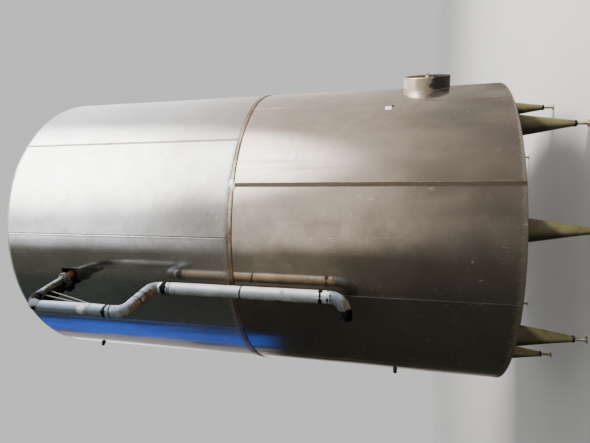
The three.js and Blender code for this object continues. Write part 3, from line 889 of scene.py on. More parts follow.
def six_flats(corner_radius):
    """Change of radius that cuts a circle to six flats: r cos 30 / cos(angle from the flat's middle) - r."""
    def cut(turn, along):
        flat = np.cos(math.pi / 6) / np.cos(turn % (math.pi / 3) - math.pi / 6)
        return corner_radius * (flat - 1) + 0 * along
    return cut


def thread(depth, step):
    """Change of radius along a helix: -depth (1 - cos(2 pi (along / step) - turn)) / 2."""
    def cut(turn, along):
        return -depth * (1 - np.cos(2 * math.pi * along / step - turn)) / 2
    return cut


def facing(path, points, way):
    """For each point of a tube: how far its outward direction agrees with a way, -1 to 1."""
    outwards = points - path[:, None]
    size = np.maximum(np.linalg.norm(outwards, axis=-1), 1e-6)
    return (outwards @ way) / size


print("a nut's flat is", round(1 + float(six_flats(1.0)(np.array(math.pi / 6), 0)), 3), "of its corner")

# %% [markdown]
# ## Floor of the tank
# The floor is a flat plate that sits up inside the skirt of the wall. It is one turned outline,
# with a single round weld seam on its underside.

# %% Floor plate
FLOOR_UNDERSIDE = 0.676
f = Finish("floor_steel")
grain = f.lay(rolled_grain, Fineness=50.0, Stretch=1.0)
damp = f.lay(tarnish, Size=0.35, Seed=9.0)
rust, rust_colour, _ = f.lay(rust_bloom, Size=0.12, Amount=0.3)
tone = f.coats((120, 114, 100),
    (damp, 1.0, (72, 66, 52)),
    (rust, 0.6, rust_colour))
dullness = 0.45 + f.total(damp, grain) * 0.3
floor_steel = f.surface(tone, dullness, 0.85 - damp * 0.5, grain, depth=0.0008)

edge = INNER_RADIUS - CLEAR
steps = np.linspace(0.08, edge - 0.03, 40)
seam_ring = 0.0022 * np.exp(-(((steps - 0.75) / 0.02) ** 2))
floor_outline = [(0.0, 0.003), *zip(steps, 0.003 - seam_ring), (edge - 0.012, 0.001), (edge - 0.004, 0.006)]
floor_outline += [(edge, 0.012), (edge, 0.06), (0.0, 0.06)]
floor_shape = turned(floor_outline, (0, 0, FLOOR_UNDERSIDE), UP, 120)
add_piece("floor_plate", floor_shape, floor_steel, "tank_floor")
print("floor plate at", FLOOR_UNDERSIDE)

# %% [markdown]
# ## Legs
# Each leg is a cone of rolled plate on a round pad under the floor, painted olive and weathered.
# A threaded screw comes out of its end with a black lock nut and a round foot, and takes up the
# slope of the ground. The leg's one solid is shown as three pieces, because paint, blacked steel
# and bare steel are three finishes. Close under the tank, and on the side away from the sun, the
# cones are nearly black: the tank's shadow and the shade are painted into their colour, by the
# height and by a number that each point carries.

# %% Leg finishes
f = Finish("olive_paint")
rust, rust_colour, _ = f.lay(rust_bloom, Size=0.05, Amount=0.26)
dust = f.lay(tarnish, Size=0.12, Seed=4.0)
runs = f.lay(dirt_runs, Top=0.68, Length=0.6, Coverage=0.5, Fineness=30.0)
splashes = f.lay(specks, Size=0.014, Amount=0.25)
lee_side = f.mark("lee_side")
# Painted shadow and shade: near the tank's floor the cones are painted dark (42, 36, 23) as the tank's
# shadow, and on the side away from the sun nearly black (26, 23, 16) as shade
shaded = f.fade(f.height() + lee_side * 0.10, 0.35, 0.43)
away = f.fade(lee_side, 0.05, 0.7)
tone = f.coats((134, 128, 82),
    (dust, 0.7, (98, 92, 58)),
    (shaded, 0.8, (42, 36, 23)),
    (away, 0.8, (26, 23, 16)),
    (runs, 0.55, (74, 62, 42)),
    (splashes, 0.6, (60, 54, 40)),
    (rust, 1.0, rust_colour))
rough = 0.48 + f.total(dust, rust) * 0.3
olive_paint = f.surface(tone, rough, 0.0, f.total(dust * 0.3, rust * 0.6), depth=0.0006)

f = Finish("blacked_steel")
rust, _, pits = f.lay(rust_bloom, Size=0.02, Amount=0.3)
tone = f.blend(rust * 0.6, (30, 28, 26), (74, 50, 34))
rough = 0.42 + pits * 0.3
blacked_steel = f.surface(tone, rough, 0.6, pits, depth=0.0004)

f = Finish("bare_screw_steel")
rust, rust_colour, pits = f.lay(rust_bloom, Size=0.018, Amount=0.38)
dust = f.lay(tarnish, Size=0.05, Seed=4.0)
tone = f.coats((166, 158, 134),
    (dust, 0.7, (122, 112, 84)),
    (rust, 0.75, rust_colour))
rough = 0.34 + rust * 0.4
shine = 0.8 - f.total(rust, dust) * 0.6
bare_screw_steel = f.surface(tone, rough, shine, pits, depth=0.0003)
print("leg finishes: 3")

# %% Legs
LEG_CIRCLE = 1.360
LEG_START = -25.5
CONE_END = 0.118
CONE_LOW, CONE_HIGH = 0.028, 0.112
PAD_TOP = FLOOR_UNDERSIDE - CLEAR
PAD_UNDER = PAD_TOP - 0.008
NUT_CORNER = 0.032
SCREW_RADIUS = 0.0150

cone_steps = np.linspace(0, 1, 26)
cone_heights = CONE_END + 0.004 + (PAD_UNDER - CONE_END - 0.016) * cone_steps
cone_outline = [(0.0, CONE_END + 0.0002), (0.0235, CONE_END + 0.0002), (0.0265, CONE_END + 0.0015)]
cone_outline += [*zip(CONE_LOW + (CONE_HIGH - CONE_LOW) * cone_steps, cone_heights)]
cone_outline += [(0.1145, PAD_UNDER - 0.009), (0.1195, PAD_UNDER - 0.005), (0.124, PAD_UNDER - 0.0005)]
cone_outline += [(0.1475, PAD_UNDER), (0.15, PAD_UNDER + 0.002), (0.15, PAD_TOP - 0.0015)]
cone_outline += [(0.1485, PAD_TOP), (0.0, PAD_TOP)]
nut_outline = [(0.0, 0.098), (0.028, 0.098), (NUT_CORNER, 0.1005), (NUT_CORNER, 0.1155)]
nut_outline += [(0.028, 0.118), (0.0, 0.118)]
screw_outline = [(0.0, 0.0), (0.0325, 0.0), (0.034, 0.0015), (0.034, 0.0052), (0.0325, 0.0066)]
screw_outline += [(0.021, 0.0092), (0.017, 0.0125), (SCREW_RADIUS, 0.0150)]
screw_outline += [*((SCREW_RADIUS, z) for z in np.arange(0.0175, 0.0985, 0.0009)), (0.0, 0.0985)]


def plate_seam(azimuth, number):
    """The weld down a rolled cone, a low ridge exp(-(turn / 0.05)^2), and a dent that differs by leg."""
    def ridge(turn, along):
        off = (turn - number * 0.9 + math.pi) % (2 * math.pi) - math.pi
        bead = 0.0028 * np.exp(-((off / 0.05) ** 2)) * (along < PAD_UNDER - 0.02) * (along > CONE_END + 0.006)
        dent = 0.0016 * np.sin(3 * turn + azimuth) * np.sin(9 * along + azimuth)
        return bead + dent * (along < PAD_UNDER - 0.02) * (along > CONE_END + 0.02)
    return ridge


def screw_shape(turn, along):
    """The thread, on the screw only."""
    return thread(0.0014, 0.0045)(turn, along) * (along > 0.0165)


for number in range(8):
    azimuth = LEG_START + number * 45
    stand = on_tank(azimuth, LEG_CIRCLE, 0.0)
    leg = f"leg_{number + 1}"
    cone = turned(cone_outline, stand, UP, 72, plate_seam(azimuth, number))
    away = {"lee_side": facing(cone[0].mean(1), cone[0], level(LEE))}
    add_piece(f"leg_cone_{number + 1}", cone, olive_paint, leg, away, sharp=30)
    nut = turned(nut_outline, stand, UP, 24, six_flats(NUT_CORNER))
    add_piece(f"leg_nut_{number + 1}", nut, blacked_steel, sharp=25)
    screw = turned(screw_outline, stand, UP, 24, screw_shape)
    add_piece(f"leg_screw_{number + 1}", screw, bare_screw_steel, sharp=50)
print("legs: 8, each a cone, a nut and a screw with its foot")

# %% [markdown]
# ## Manway
# A manway is the round opening through which a tank is cleaned. This one is a short bright neck,
# 470 mm over its rolled rim, welded through the wall. A dished door sits inside it on a rubber
# ring, and a strap across the mouth pulls it shut by a screw. The strap's ends are bent down over
# the neck. Below its middle the neck looks black, so the finish paints it nearly black there, as painted
# shade.

# %% Manway finishes
f = Finish("bright_neck")
grain = f.lay(rolled_grain, Fineness=130.0, Stretch=6.0)
film = f.lay(tarnish, Size=0.14, Seed=1.0)
splashes = f.lay(specks, Size=0.016, Amount=0.2)
tone = f.coats((226, 212, 190),
    (film, 0.7, (158, 142, 116)),
    (splashes, 0.6, (74, 64, 48)))
# Painted shade: below the neck's middle the tone turns nearly black (14, 11, 8) and the metal dull
under = f.fade(f.height() + film * 0.08, MANWAY_HEIGHT + 0.04, MANWAY_HEIGHT - 0.03)
tone = f.blend(under * 0.97, tone, (14, 11, 8))
rough = 0.2 + f.total(grain * 0.5, film * 0.4, under) * 0.3
shine = 1.0 - f.total(film * 0.25, splashes * 0.6, under)
bright_neck = f.surface(tone, rough, shine, f.total(grain, splashes), depth=0.0003)

f = Finish("door_steel")
film = f.lay(tarnish, Size=0.1, Seed=6.0)
grain = f.lay(rolled_grain, Fineness=110.0, Stretch=3.0)
tone = f.blend(film * 0.8, (130, 124, 110), (70, 62, 48))
door_steel = f.surface(tone, 0.35 + film * 0.3, 0.95 - film * 0.5, grain, depth=0.0004)

f = Finish("strap_steel")
rust, rust_colour, pits = f.lay(rust_bloom, Size=0.045, Amount=0.45)
film = f.lay(tarnish, Size=0.1, Seed=8.0)
tone = f.coats((176, 170, 154),
    (film, 0.5, (118, 108, 86)),
    (rust, 0.4, rust_colour))
shine = 0.55 - rust * 0.4
strap_steel = f.surface(tone, 0.36 + rust * 0.4, shine, pits, depth=0.0005)

f = Finish("door_rubber")
chalk = f.lay(tarnish, Size=0.05, Seed=3.0)
tone = f.blend(chalk * 0.4, (26, 25, 24), (62, 60, 56))
door_rubber = f.surface(tone, 0.62 + chalk * 0.25, 0.0, chalk, depth=0.0004)
print("manway finishes: 4")

# %% Neck, door and ring
NECK_MOUTH = SHELL_RADIUS + 0.113
NECK_INSIDE = INNER_RADIUS - 0.020
NECK_RADIUS = 0.231
RIM_RADIUS = 0.006
DOOR_FACE = SHELL_RADIUS - 0.063
manway_foot = (0, 0, MANWAY_HEIGHT)
manway_axis = level(MANWAY_AZIMUTH)

rim_turn = np.linspace(-0.5 * math.pi, 1.0 * math.pi, 15)
rim = zip(0.229 + RIM_RADIUS * np.cos(rim_turn), NECK_MOUTH - RIM_RADIUS + RIM_RADIUS * np.sin(rim_turn))
wall_steps = np.linspace(NECK_INSIDE + 0.002, NECK_MOUTH - 0.0135, 22)
neck_outline = [(0.2235, NECK_INSIDE), (0.2305, NECK_INSIDE), *((NECK_RADIUS, x) for x in wall_steps), *rim]
neck_outline += [(NECK_RADIUS - 0.008, x) for x in wall_steps[::-1]]


def neck_oval(turn, along):
    """A rolled neck is a little oval, and its rim is dented: two low sines."""
    free = np.clip((along - SHELL_RADIUS) / 0.1, 0, 1)
    return free * (0.0012 * np.cos(2 * turn) - 0.0009 * np.exp(-(((turn - 2.2) / 0.25) ** 2)))


neck_shape = turned(neck_outline, manway_foot, manway_axis, 144, neck_oval, closed=True)
add_piece("manway_collar", neck_shape, bright_neck, "manway_neck")

door_foot = on_tank(MANWAY_AZIMUTH, DOOR_FACE, MANWAY_HEIGHT)
dish = np.linspace(1, 0, 20)
door_outline = [(0.0, -0.012), (0.2215, -0.012), (0.2225, -0.010), (0.2225, -0.004), (0.2215, -0.003)]
door_outline += [(0.2, -0.003), (0.197, -0.009), *zip(0.06 + 0.13 * dish, -0.001 - 0.009 * dish**2)]
door_outline += [(0.045, -0.001), (0.03, -0.0002), (0.0, -0.0002)]
door_shape = turned(door_outline, door_foot, manway_axis, 96)
add_piece("manway_dish", door_shape, door_steel, "manway_door")

ring_turn = full_turn(14)
ring_outline = [*zip(0.2155 + 0.006 * np.cos(ring_turn), 0.0012 + 0.004 * np.sin(ring_turn))]
ring_shape = turned(ring_outline, door_foot, manway_axis, 96, closed=True)
add_piece("manway_ring", ring_shape, door_rubber)
print("neck reaches", round(NECK_MOUTH, 4), "from the axis")

# %% [markdown]
# ## Pieces carried along a path
# The strap, the welds, the rods and the pipe are each one outline carried along a line. The line
# needs a sideways direction at each point that doesn't twist, so it is handed on from point to
# point and made square to the way again each time. The outline may change as it goes, which gives
# dents, laps, flattened ends, and closed tips where it shrinks to nothing.

# %% Paths and carried outlines
def between(start, stop, spacing):
    """Points on a straight line, without its end."""
    count = max(1, round(np.linalg.norm(stop - start) / spacing))
    return start + (stop - start) * (np.arange(count) / count)[:, None]


def route(corners, radii, spacing):
    """Straight runs joined by arcs that touch both: first point + r (1 - cos t) side + r sin t way."""
    corners = [np.asarray(corner, float) for corner in corners]
    parts, start = [], corners[0]
    for before, corner, after, radius in zip(corners, corners[1:], corners[2:], radii):
        came, goes = unit(corner - before), unit(after - corner)
        angle = math.acos(np.clip(came @ goes, -1, 1))
        reach = radius * math.tan(angle / 2)
        first, side = corner - came * reach, unit(goes - came * (came @ goes))
        if np.linalg.norm(first - start) > 1e-4:
            parts.append(between(start, first, spacing))
        turn = np.linspace(0, angle, max(6, round(radius * angle / spacing)) + 1)[:-1, None]
        parts.append(first + radius * (1 - np.cos(turn)) * side + radius * np.sin(turn) * came)
        start = corner + goes * reach
    if np.linalg.norm(corners[-1] - start) > 1e-4:
        parts.append(between(start, corners[-1], spacing))
        start = corners[-1]
    return np.concatenate([*parts, start[None]])


def guides(path, side, loop=False):
    """At each point of a path: the way it goes, and two directions square to it that don't twist."""
    way = np.roll(path, -1, 0) - np.roll(path, 1, 0) if loop else np.gradient(path, axis=0)
    way = way / np.linalg.norm(way, axis=1, keepdims=True)
    sides = np.empty_like(way)
    side = np.asarray(side, float)
    for place, forwards in enumerate(way):
        side = unit(side - forwards * (forwards @ side))
        sides[place] = side
    return way, sides, np.cross(way, sides)


def carried(outline, path, side, order=None, loop=False):
    """Points path + x side + y other. The outline is (rows or 1, columns, 2); `order` may visit
    path points more than once, so that a tube can turn back inside itself."""
    _, sides, others = guides(path, side, loop)
    order = np.arange(len(path)) if order is None else np.asarray(order)
    outline = np.broadcast_to(outline, (len(order), *outline.shape[-2:]))
    points = path[order][:, None] + outline[..., :1] * sides[order][:, None]
    points = points + outline[..., 1:] * others[order][:, None]
    return points, quilt(*points.shape[:2], loop_rows=loop, loop_columns=True)


def with_tips(outline, path_length):
    """The outline's rows with a row of zeros before and after, and the order that visits the ends twice."""
    outline = np.broadcast_to(outline, (path_length, *outline.shape[-2:]))
    zero = np.zeros_like(outline[:1])
    order = [0, *range(path_length), path_length - 1]
    return np.concatenate([zero, outline, zero]), order


def rounds(radius, columns):
    """Circles (r cos, r sin): the radius may vary by row, and by row and column."""
    turn = full_turn(columns)
    radius = np.atleast_2d(radius)
    return np.stack([radius * np.cos(turn), radius * np.sin(turn)], -1)


def run_of(path):
    """The distance along a path to each of its points, as a column."""
    return np.concatenate([[0], np.cumsum(np.linalg.norm(np.diff(path, axis=0), axis=1))])[:, None]


print("quarter bend:", route([(0, 0, 0), (1, 0, 0), (1, 1, 0)], [0.5], 0.1).shape, "points")

# %% Strap and its screw
STRAP_SPAN = 0.2403
STRAP_OUT = NECK_MOUTH + 0.0053
STRAP_TIP = NECK_MOUTH - 0.084
HAND_NUT_CORNER = 0.025
across_way = level(MANWAY_AZIMUTH + 90)


def on_manway(out, across, up=0.0):
    """A point at a distance out from the axis, sideways by `across`, over the manway's middle by `up`."""
    return manway_axis * out + across_way * across + np.array([0, 0, MANWAY_HEIGHT + up])


corners = [on_manway(STRAP_TIP, STRAP_SPAN), on_manway(STRAP_OUT, STRAP_SPAN)]
corners += [on_manway(STRAP_OUT, -STRAP_SPAN), on_manway(STRAP_TIP, -STRAP_SPAN)]
path = route(corners, [0.012, 0.012], 0.006)
outline, order = with_tips(superellipse(0.0135, 0.005, 28, 8), len(path))
strap = carried(outline, path, UP, order)
add_piece("manway_strap", strap, strap_steel, "manway_bar", sharp=50)

spindle = [(0.0, DOOR_FACE + CLEAR), (0.023, DOOR_FACE + CLEAR), (0.023, DOOR_FACE + 0.012)]
spindle += [(0.0138, DOOR_FACE + 0.02)]
spindle += [*((0.0138, x) for x in np.arange(DOOR_FACE + 0.03, NECK_MOUTH + 0.022, 0.0011))]
spindle += [(0.0115, NECK_MOUTH + 0.025), (0.0, NECK_MOUTH + 0.026)]


def spindle_shape(turn, along):
    """The thread, between the spindle's foot and its rounded tip."""
    return thread(0.0013, 0.0048)(turn, along) * (along > DOOR_FACE + 0.03) * (along < NECK_MOUTH + 0.021)


screw = turned(spindle, manway_foot, manway_axis, 24, spindle_shape)
add_piece("manway_screw", screw, bare_screw_steel, sharp=50)
hand_nut = [(0.0, 0.0), (0.022, 0.0), (HAND_NUT_CORNER, 0.002), (HAND_NUT_CORNER, 0.011)]
hand_nut += [(0.022, 0.0135), (0.0, 0.0135)]
nut = turned(hand_nut, on_manway(STRAP_OUT + 0.0046, 0.0), manway_axis, 24, six_flats(HAND_NUT_CORNER))
add_piece("manway_nut", nut, bare_screw_steel, sharp=25)
print("strap path:", len(path), "points")

# %% [markdown]
# ## Welds
# Where a pipe goes through a shell, the line they share is a saddle: at a turn t round the neck
# it is sideways r cos t, up r sin t, and out as far as the shell is there. A thin tube with a
# rippled radius on that line is a weld bead.

# %% Weld round the neck
f = Finish("weld_metal")
ripple = f.lay(rolled_grain, Fineness=300.0, Stretch=1.0)
heat = f.lay(tarnish, Size=0.06, Seed=2.0)
tone = f.blend(heat * 0.7, (168, 160, 146), (98, 82, 64))
weld_metal = f.surface(tone, 0.3 + ripple * 0.3, 0.85, ripple, depth=0.0005)


def weld_round(name, azimuth, height, radius, thickness):
    """A rippled tube on the saddle line of a level pipe of a given radius and the shell."""
    turn = full_turn(180)
    sideways, rise = radius * np.cos(turn), radius * np.sin(turn)
    out = np.sqrt(SHELL_RADIUS**2 - sideways**2)
    path = out[:, None] * level(azimuth) + sideways[:, None] * level(azimuth + 90)
    path = path + np.stack([0 * rise, 0 * rise, height + rise], -1)
    bead = thickness * (1 + 0.12 * np.sin(45 * turn) + 0.08 * np.sin(71 * turn + 1))
    tube = carried(rounds(bead[:, None], 10), path, level(azimuth), loop=True)
    return add_piece(name, tube, weld_metal, sharp=80)


weld_round("manway_weld", MANWAY_AZIMUTH, MANWAY_HEIGHT, NECK_RADIUS + 0.002, 0.0052)
print("weld finish:", weld_metal.name)

# %% [markdown]
# ## Gauge stubs, the bare label and a plug
# Two short black sockets stand out on the tank's left side, each with a six-sided collar and a
# round cap. Beside the manway a label was once stuck: it is left bare, a small white patch that
# lies on the curve of the sheet and lifts a little at one corner. Next to it is a rubber plug.

# %% Gauge stubs
GAUGE_AZIMUTH = 171.8
GAUGE_CORNER = 0.025
collar = [(0.0, 0.0), (0.0225, 0.0), (GAUGE_CORNER, 0.003), (GAUGE_CORNER, 0.017), (0.0225, 0.0195)]
collar += [(0.0, 0.0195)]
cap = [(0.0, 0.0190), (0.0175, 0.0190), (0.0185, 0.024), (0.0215, 0.0255), (0.0215, 0.037)]
cap += [(0.0195, 0.0425), (0.0145, 0.0475), (0.0075, 0.051), (0.0, 0.052)]


def grips(turn, along):
    """Fourteen shallow flutes round the widest part of the cap."""
    return 0.0007 * np.sin(14 * turn) * (along > 0.0250) * (along < 0.0377)


for name, height in (("lower_gauge_stub", 1.653), ("upper_gauge_stub", 5.289)):
    foot, way = on_tank(GAUGE_AZIMUTH, SHELL_RADIUS + CLEAR, height), level(GAUGE_AZIMUTH)
    collar_shape = turned(collar, foot, way, 24, six_flats(GAUGE_CORNER))
    add_piece(name + "_collar", collar_shape, blacked_steel, name, sharp=25)
    add_piece(name + "_cap", turned(cap, foot, way, 56, grips), blacked_steel)
    weld_round(name + "_weld", GAUGE_AZIMUTH, height, 0.0235, 0.0028)
print("gauge stubs: 2")

# %% Bare label and plug
f = Finish("bare_label")
scuffs = f.lay(tarnish, Size=0.02, Seed=4.0)
dots = f.lay(specks, Size=0.006, Amount=0.12)
tone = f.coats((240, 240, 238),
    (scuffs, 0.35, (204, 202, 194)),
    (dots, 0.35, (150, 146, 136)))
bare_label = f.surface(tone, 0.45 + scuffs * 0.2, 0.0, scuffs, depth=0.0002)

LABEL_AZIMUTH, LABEL_HEIGHT = -70.0, 1.742
LABEL_WIDTH, LABEL_TALL = 0.062, 0.058
PLUG_AZIMUTH, PLUG_HEIGHT = -68.4, 1.702
side, rise = np.meshgrid(np.linspace(-1, 1, 21), np.linspace(-1, 1, 21), indexing="ij")
lifted = 0.0035 * np.clip((side + rise - 1.25) / 0.75, 0, 1) ** 2
azimuth = LABEL_AZIMUTH + np.degrees(side * LABEL_WIDTH / 2 / SHELL_RADIUS)
height = LABEL_HEIGHT + rise * LABEL_TALL / 2
both = [on_tank(azimuth, SHELL_RADIUS + out + lifted, height).reshape(-1, 3) for out in (0.0021, 0.0016)]
ring = np.concatenate([np.arange(20), 20 + 21 * np.arange(20), 440 - np.arange(20), 420 - 21 * np.arange(20)])
rim_faces = np.stack([ring, np.roll(ring, -1), np.roll(ring, -1) + 441, ring + 441], -1)
faces = np.concatenate([quilt(21, 21), quilt(21, 21) + 441, rim_faces])
add_piece("label_patch", (np.concatenate(both), faces), bare_label)

plug = [(0.0, 0.0), (0.013, 0.0), (0.013, 0.0028), (0.011, 0.0045), (0.006, 0.0055), (0.0, 0.0058)]
plug_shape = turned(plug, on_tank(PLUG_AZIMUTH, SHELL_RADIUS - 0.001, PLUG_HEIGHT), level(PLUG_AZIMUTH), 28)
add_piece("wall_plug", plug_shape, door_rubber)
print("label patch:", LABEL_WIDTH, "by", LABEL_TALL)

# %% [markdown]
# ## Outlet
# The outer skin is cut away round the outlet, and the insulation is dug out to the inner wall. A
# stub stands on the inner wall, deep orange with rust. It ends in a flange with four bolts. Lumps
# of old black mastic hang under the flange and the stub, a long black lump under the arm stands
# for its shadow as painted shade, and a bright burr stands at the edge of the cut skin.

# %% Outlet finishes
f = Finish("rusted_stub")
rust, _, pits = f.lay(rust_bloom, Size=0.03, Amount=0.95)
tone = f.blend(rust * 0.75, (172, 96, 48), (64, 34, 20))
rough = 0.72 + pits * 0.2
rusted_stub = f.surface(tone, rough, 0.0, pits, depth=0.0016)

f = Finish("grey_flange")
rust, rust_colour, pits = f.lay(rust_bloom, Size=0.02, Amount=0.42)
film = f.lay(tarnish, Size=0.05, Seed=7.0)
tone = f.coats((98, 102, 94),
    (film, 0.7, (62, 64, 54)),
    (rust, 0.7, rust_colour))
shine = 0.15 - rust * 0.15
grey_flange = f.surface(tone, 0.4 + rust * 0.3, shine, pits, depth=0.0006)

f = Finish("black_mastic")
sticky = f.noise(f.place(), 60.0, 6.0, 0.6)
tone = f.blend(f.fade(sticky, 0.45, 0.75), (4, 4, 4), (19, 17, 14))
rough = 0.55 + sticky * 0.4
black_mastic = f.surface(tone, rough, 0.0, sticky, depth=0.002, Specular_IOR_Level=0.08)
print("outlet finishes: 3")

# %% Stub, flange and mastic
pipe_way = level(PIPE_AZIMUTH)
pipe_side = level(PIPE_AZIMUTH + 90)
STUB_BACK = SHELL_RADIUS - POCKET_DEPTH + CLEAR
STUB_RADIUS = 0.0365
FLANGE_FRONT = SHELL_RADIUS + 0.092
FLANGE_THICK = 0.028
FLANGE_BACK = FLANGE_FRONT - FLANGE_THICK
BOLT_CIRCLE = 0.0455
BOLT_CORNER = 0.0085


def at_pipe(out, height, aside=0.0):
    """A point in the pipe's upright plane, or beside it."""
    return pipe_way * out + pipe_side * aside + np.array([0, 0, height])


arm_foot = (0, 0, ARM_HEIGHT)
steps = np.linspace(STUB_BACK, FLANGE_BACK + 0.002, 20)


def scabs(turn, along):
    """Flakes of rust on the stub: two sines multiplied."""
    return 0.0014 * np.sin(5 * turn + 60 * along) * np.sin(170 * along) - 0.0006


outline = [(0.0, STUB_BACK), *((STUB_RADIUS, x) for x in steps), (0.0, FLANGE_BACK + 0.002)]
stub = turned(outline, arm_foot, pipe_way, 48, scabs)
add_piece("outlet_pipe_stub", stub, rusted_stub, "outlet_stub", sharp=60)

flange = [(0.0, 0.0), (0.058, 0.0), (0.06, 0.002), (0.06, 0.0115), (0.0585, 0.013), (0.0585, 0.015)]
flange += [(0.06, 0.0165), (0.06, 0.026), (0.058, FLANGE_THICK), (0.0, FLANGE_THICK)]
flange_shape = turned(flange, at_pipe(FLANGE_BACK, ARM_HEIGHT), pipe_way, 64)
add_piece("outlet_flange", flange_shape, grey_flange)
head = [(0.0, -0.0345), (0.0075, -0.0345), (BOLT_CORNER, -0.0335), (BOLT_CORNER, -FLANGE_THICK)]
head += [(0.0, -FLANGE_THICK)]
nut = [(0.0, 0.0), (BOLT_CORNER, 0.0), (BOLT_CORNER, 0.0062), (0.0075, 0.0072), (0.0045, 0.0074)]
nut += [(0.0045, 0.0125), (0.0, 0.013)]
for number in range(4):
    turn = math.radians(45 + 90 * number)
    centre = at_pipe(FLANGE_FRONT, ARM_HEIGHT + BOLT_CIRCLE * math.sin(turn), BOLT_CIRCLE * math.cos(turn))
    for name, outline, flats in (("head", head, six_flats(BOLT_CORNER)), ("nut", nut, None)):
        bolt_part = turned(outline, centre, pipe_way, 24, flats)
        add_piece(f"flange_{name}_{number + 1}", bolt_part, bare_screw_steel, sharp=25)

BURR_AZIMUTH = -138.6
down_lee = unit(level(LEE) + DOWN)
lumps = (
    ("flange_mastic", (SHELL_RADIUS + 0.114, ARM_HEIGHT - 0.054, -0.060), pipe_way, (0, 0.25, 1),
     (0.092, 0.056, 0.050), 3, 2.2),
    ("flange_mastic_low", (SHELL_RADIUS + 0.022, ARM_HEIGHT - 0.074, -0.050), pipe_way, (0, 0.7, -0.7),
     (0.048, 0.034, 0.034), 5, 2.0),
    # Painted shade: a long black lump under the arm, put where there is only shadow
    ("arm_mastic", (1.890, ARM_HEIGHT - 0.056, -0.052), down_lee, pipe_way, (0.165, 0.026, 0.046), 7, 1.8),
)
for name, place, out, along, size, seed, lumpy in lumps:
    weld_lump(name, at_pipe(*place), out, along, size, black_mastic, seed, lumpy)
burr_at = on_tank(BURR_AZIMUTH, SHELL_RADIUS + 0.002, ARM_HEIGHT - 0.035)
burr_size = (0.014, 0.006, 0.006)
weld_lump("cutout_burr", burr_at, level(BURR_AZIMUTH), UP, burr_size, bright_neck, 9, 2.0)
print("flange at", round(FLANGE_FRONT, 3), "from the axis")

# %% [markdown]
# ## The clad pipe
# The pipe is wrapped in a thin jacket, 116 mm over all: pale blue-white where the sun reaches it,
# and painted blue-grey as shade elsewhere. The side that the sun doesn't reach is green with growth
# and painted darker as shade. The side to the wall is painted dark as shade, except on the lower run,
# where it is painted warm as light that the wall throws back. The offset bend is brown below.
# Each point of the jacket carries two numbers, how far it faces that damp side and how far it faces
# the wall, and the finish reads both.

# %% Jacket finish
def jacket_finish(name, base, tint, damp_from, damp_to, stain=None, sunny=(-0.5, -0.88), back=None):
    """The green film, partly growth and partly painted shade, starts where the damp number passes
    `damp_from` and is full at `damp_to`; a stain is its centre, its radius, how far round it needs the
    damp side, and its tone. `sunny` is where the painted sunlit side starts and is full: `base` is its
    painted lit tone and `tint` the painted shade tone. `back` is the painted tone of the side to the wall,
    where it has one."""
    f = Finish(name)
    damp = f.mark("damp_side")
    clouds = f.lay(tarnish, Size=0.16, Seed=12.0)
    fine = f.lay(tarnish, Size=0.03, Seed=2.0)
    mould = f.lay(specks, Size=0.012, Amount=0.35)
    spots = f.lay(specks, Size=0.035, Amount=0.14)
    grain = f.lay(rolled_grain, Fineness=120.0, Stretch=8.0)
    lines = f.lay(scrapes, Fineness=14.0, Width=0.008)
    creep = damp + (clouds - 0.5) * 0.4
    creep = creep + (fine - 0.5) * 0.35
    # The damp side: green growth, with painted shade that darkens it further in the green and dark coats
    green = f.fade(creep, damp_from, damp_to)
    dark = f.fade(creep, damp_to, damp_to + 0.3)
    # Painted light and shade: the side the sun reaches is painted in the light base tone, and the rest in the
    # darker tint
    painted_sunlit = f.fade(damp, *sunny)
    tone = f.coats(tint,
        (painted_sunlit, 1.0, base),
        (clouds, 0.3, tint),
        (grain, 0.15, (150, 152, 150)),
        (lines, 0.4, (112, 110, 102)),
        (green, 0.65, (112, 120, 102)),
        (dark, 0.75, (86, 94, 70)),
        (mould, 0.14 + green * 0.7, (52, 54, 30)),
        (spots, 0.45, (88, 82, 66)))
    if stain:
        centre, radius, from_damp, stain_tone = stain
        reached = f.lay(stain_at, Centre=tuple(centre), Radius=radius)
        share = reached * f.fade(creep, from_damp, from_damp + 0.5)
        tone = f.blend(share * f.fade(fine, 0.0, 0.3) * 0.92, tone, stain_tone)
    if back is not None:
        # Painted light and shade on the side to the wall: a dark painted shade on most pieces, and on the
        # lower run a warm painted light that the wall throws back
        behind = f.mark("wall_side")
        tone = f.blend(f.fade(behind, 0.2, 0.7) * 0.8, tone, back)
    rough = 0.42 + f.total(green, clouds * 0.4) * 0.4
    shine = 0.08 - green * 0.08
    relief = f.total(fine * 0.35, grain * 0.15, mould * 0.4, lines * 0.2)
    return f.surface(tone, rough, shine, relief, depth=0.0009, Specular_IOR_Level=0.14)


RUN_OUT = 2.205
LOWER_OUT = 1.751
ELBOW_HEIGHT = 2.055
BEND_HIGH, BEND_LOW = 3.892, 3.878
lee_way = level(LEE)
# The second tone is the jackets' painted shade tone, and the third is painted shade on the side to the wall
cool_white, cool_grey, wall_side_shade = (168, 174, 184), (94, 108, 132), (84, 80, 68)
peeled = (at_pipe(RUN_OUT, 4.285) + level(-101.0) * 0.056, 0.06, -1.0, (206, 212, 220))
under_bend = (at_pipe(1.96, 3.85) + lee_way * 0.05, 0.40, -0.45, (78, 57, 36))
under_elbow = (at_pipe(LOWER_OUT, ELBOW_HEIGHT - 0.035) + lee_way * 0.06, 0.15, -1.4, (88, 76, 54))
# Painted shade: the arm's lower side is painted dark (50, 46, 32) as a wide stain
arm_underside_shade = (at_pipe(1.86, ARM_HEIGHT), 0.5, -0.3, (50, 46, 32))
upper_jacket = jacket_finish("upper_jacket", cool_white, cool_grey, -0.3, 0.4, peeled, back=wall_side_shade)
offset_jacket = jacket_finish("offset_jacket", cool_white, (116, 128, 146), -0.1, 0.5, under_bend, back=wall_side_shade)
